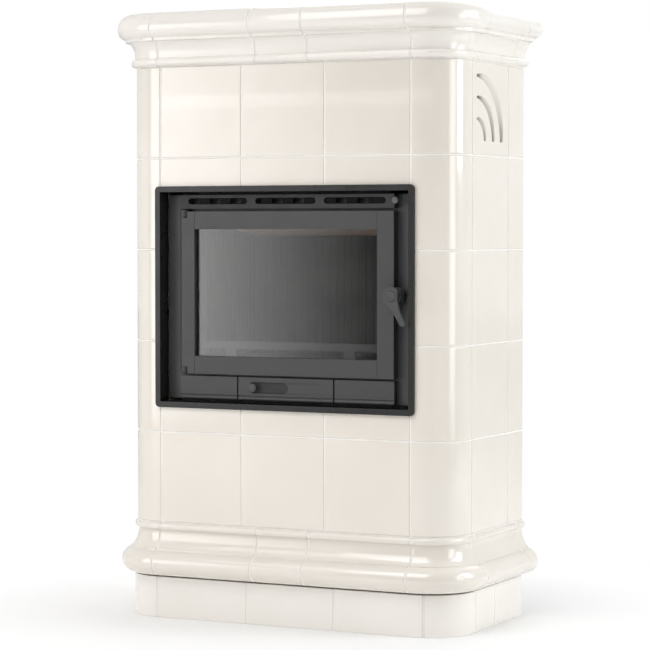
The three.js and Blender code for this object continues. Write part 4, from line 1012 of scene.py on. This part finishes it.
# The slide's knob faces get the lighter casting paint: a painted highlight.
second_finish("air_slide_soft", CASTING_PAINT_AND_PAINTED_HIGHLIGHT, lambda centre: centre.y < FRONT_FACE + MM)
# The track's wall gets the darker paint: painted shade in the recess.
second_finish("ash_drawer_soft", DARK_PAINT_AND_PAINTED_SHADE, on_track_wall)

# %% [markdown]
# The pieces deep inside need no softer edges. They keep their solids and only get their
# finish.

# %% Finishes of the inner solids
def paint_node(node, material):
    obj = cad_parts[node]
    obj.data.materials.clear()
    obj.data.materials.append(material)


paint_node("hearth_floor", DARKENED_BOARD)
paint_node("grate", IRON)
paint_node("firebox_shell", DARK_PAINT_AND_PAINTED_SHADE)
paint_node("stand", DARK_PAINT_AND_PAINTED_SHADE)
paint_node("rear_panel", ZINC)

# %% [markdown]
# ## Studio
#
# The stove stands on a white floor in a pale studio. The wall behind the camera is dark, so
# the door's glass shows the firebox. Two upright panels fade out towards their edges: the
# left one veils the left of the glass and the left-hand tiles, the right one brightens the
# side. Soft lamps stand at the right, high in front and behind, and a weak one lights the
# floor before the plinth, which sends some light back up.

# %% Floor, world and lights
def make_floor():
    """A pale floor that keeps the stove's shadow near it and is plain white further out."""
    bpy.ops.object.select_all(action="DESELECT")
    bpy.ops.mesh.primitive_plane_add(size=40)
    floor = bpy.context.object
    floor.name = "studio_floor"
    material, tree, shader = new_material("studio_floor")
    shader.inputs["Roughness"].default_value = 0.7
    place = tree.nodes.new("ShaderNodeTexCoord")
    radius = tree.nodes.new("ShaderNodeVectorMath")
    radius.operation = "LENGTH"
    tree.links.new(place.outputs["Object"], radius.inputs[0])
    fade = tree.nodes.new("ShaderNodeMapRange")
    fade.interpolation_type = "SMOOTHSTEP"
    fade.inputs["From Min"].default_value = 0.42
    fade.inputs["From Max"].default_value = 1.0
    tree.links.new(radius.outputs["Value"], fade.inputs["Value"])
    shader.inputs["Base Color"].default_value = (*grey(0.93), 1)
    path = tree.nodes.new("ShaderNodeLightPath")
    share = tree.nodes.new("ShaderNodeMath")
    share.operation = "MULTIPLY"
    tree.links.new(fade.outputs["Result"], share.inputs[0])
    tree.links.new(path.outputs["Is Camera Ray"], share.inputs[1])
    white = tree.nodes.new("ShaderNodeEmission")
    white.inputs["Strength"].default_value = 1.0
    mix = tree.nodes.new("ShaderNodeMixShader")
    tree.links.new(share.outputs["Value"], mix.inputs["Fac"])
    tree.links.new(shader.outputs["BSDF"], mix.inputs[1])
    tree.links.new(white.outputs["Emission"], mix.inputs[2])
    tree.links.new(mix.outputs["Shader"], tree.nodes["Material Output"].inputs["Surface"])
    floor.data.materials.append(material)


CAMERA_YAW = math.radians(26.351)
CAMERA_PITCH = math.radians(2.215)


def make_world():
    """A pale studio whose wall behind the camera is dark, before a white background."""
    world = bpy.data.worlds.new("studio")
    bpy.context.scene.world = world
    world.use_nodes = True
    tree = world.node_tree
    place = tree.nodes.new("ShaderNodeTexCoord")
    facing = tree.nodes.new("ShaderNodeVectorMath")
    facing.operation = "DOT_PRODUCT"
    facing.inputs[1].default_value = (math.sin(CAMERA_YAW), -math.cos(CAMERA_YAW), 0)
    tree.links.new(place.outputs["Generated"], facing.inputs[0])
    shade = tree.nodes.new("ShaderNodeMapRange")
    shade.interpolation_type = "SMOOTHSTEP"
    shade.inputs["From Min"].default_value = math.cos(math.radians(80))
    shade.inputs["From Max"].default_value = math.cos(math.radians(48))
    shade.inputs["To Min"].default_value = 1.0
    shade.inputs["To Max"].default_value = 0.02
    tree.links.new(facing.outputs["Value"], shade.inputs["Value"])
    path = tree.nodes.new("ShaderNodeLightPath")
    lit = tree.nodes.new("ShaderNodeMath")
    lit.operation = "MULTIPLY"
    lit.inputs[1].default_value = 0.76
    tree.links.new(shade.outputs["Result"], lit.inputs[0])
    seen = tree.nodes.new("ShaderNodeMath")
    seen.operation = "MAXIMUM"
    tree.links.new(path.outputs["Is Camera Ray"], seen.inputs[0])
    tree.links.new(path.outputs["Is Transmission Ray"], seen.inputs[1])
    strength = tree.nodes.new("ShaderNodeMix")
    tree.links.new(seen.outputs["Value"], strength.inputs["Factor"])
    tree.links.new(lit.outputs["Value"], strength.inputs["A"])
    strength.inputs["B"].default_value = 1.0
    tree.links.new(strength.outputs["Result"], tree.nodes["Background"].inputs["Strength"])
    warm = tree.nodes.new("ShaderNodeMix")
    warm.data_type = "RGBA"
    tree.links.new(seen.outputs["Value"], warm.inputs["Factor"])
    warm.inputs["A"].default_value = (1.0, 0.99, 0.975, 1)
    warm.inputs["B"].default_value = (1, 1, 1, 1)
    tree.links.new(warm.outputs["Result"], tree.nodes["Background"].inputs["Color"])


def soft_light(name, place, target, size, power, colour=(1, 1, 1)):
    """A rectangular lamp that faces its target; power is in watts."""
    bpy.ops.object.select_all(action="DESELECT")
    bpy.ops.object.light_add(type="AREA", location=place)
    lamp = bpy.context.object
    lamp.name = name
    lamp.data.shape = "RECTANGLE"
    lamp.data.size, lamp.data.size_y = size
    lamp.data.energy = power
    lamp.data.color = colour
    aim = Vector(target) - Vector(place)
    lamp.rotation_euler = aim.to_track_quat("-Z", "Y").to_euler()


def make_panel(name, place, yaw, size, power, fades):
    """A glowing upright panel. A fade is an axis, where it is dark and where it is bright."""
    bpy.ops.object.select_all(action="DESELECT")
    bpy.ops.mesh.primitive_plane_add(size=1, location=place,
                                     rotation=(math.pi / 2, 0, math.radians(yaw)))
    panel = bpy.context.object
    panel.name = name
    panel.scale = (*size, 1)
    material = bpy.data.materials.new(name)
    material.use_nodes = True
    tree = material.node_tree
    tree.nodes.remove(tree.nodes["Principled BSDF"])
    glow = tree.nodes.new("ShaderNodeEmission")
    where = tree.nodes.new("ShaderNodeTexCoord")
    axes = tree.nodes.new("ShaderNodeSeparateXYZ")
    tree.links.new(where.outputs["Object"], axes.inputs["Vector"])
    value = None
    for output, dark, bright in fades:
        fade = tree.nodes.new("ShaderNodeMapRange")
        fade.interpolation_type = "SMOOTHSTEP"
        fade.inputs["From Min"].default_value = dark
        fade.inputs["From Max"].default_value = bright
        tree.links.new(axes.outputs[output], fade.inputs["Value"])
        product = tree.nodes.new("ShaderNodeMath")
        product.operation = "MULTIPLY"
        product.inputs[1].default_value = power
        tree.links.new(fade.outputs["Result"], product.inputs[0])
        if value:
            tree.links.new(value, product.inputs[1])
        value = product.outputs["Value"]
    tree.links.new(value, glow.inputs["Strength"])
    tree.links.new(glow.outputs["Emission"], tree.nodes["Material Output"].inputs["Surface"])
    panel.data.materials.append(material)


make_floor()
make_world()
make_panel("left_panel", (-3.6, -4.2, 1.5), -40, (4.0, 3.4), 3.3,
           [("X", 0.50, 0.10), ("X", -0.42, -0.12), ("Y", -0.45, -0.38), ("Y", 0.5, 0.3)])
make_panel("right_panel", (4.2, -0.6, 1.5), 82, (2.0, 3.2), 3.2,
           [("X", 0.5, 0.1), ("X", -0.5, -0.1), ("Y", -0.5, -0.3), ("Y", 0.5, 0.3)])
soft_light("side", (4.4, 0.8, 2.4), (0.3, 0.1, 0.8), (2.2, 2.6), 98, (0.92, 0.98, 1.0))
soft_light("top_front", (-0.3, -3.0, 3.2), (0, 0, 0.9), (2.8, 2.4), 56)
soft_light("top_rear", (-0.2, 2.4, 3.0), (0, 0, 0.9), (2.8, 2.8), 20)
soft_light("near_floor", (-0.1, -1.15, 1.3), (-0.1, -1.15, 0), (1.8, 0.6), 4)

# %% [markdown]
# The camera stands to the right of the stove at a little over half its height, with a long
# lens, so the upright lines stay almost upright. Its place was solved from the tile joints.

# %% Camera
def make_camera():
    bpy.ops.object.select_all(action="DESELECT")
    bpy.ops.object.camera_add(
        location=(2.6332, FACE_Y - 5.0903, 0.9353),
        rotation=(math.pi / 2 - CAMERA_PITCH, 0, CAMERA_YAW),
    )
    camera = bpy.context.object
    camera.data.sensor_width = 36
    camera.data.lens = 134.867
    bpy.context.scene.camera = camera


make_camera()
bpy.context.scene.view_settings.view_transform = "Standard"
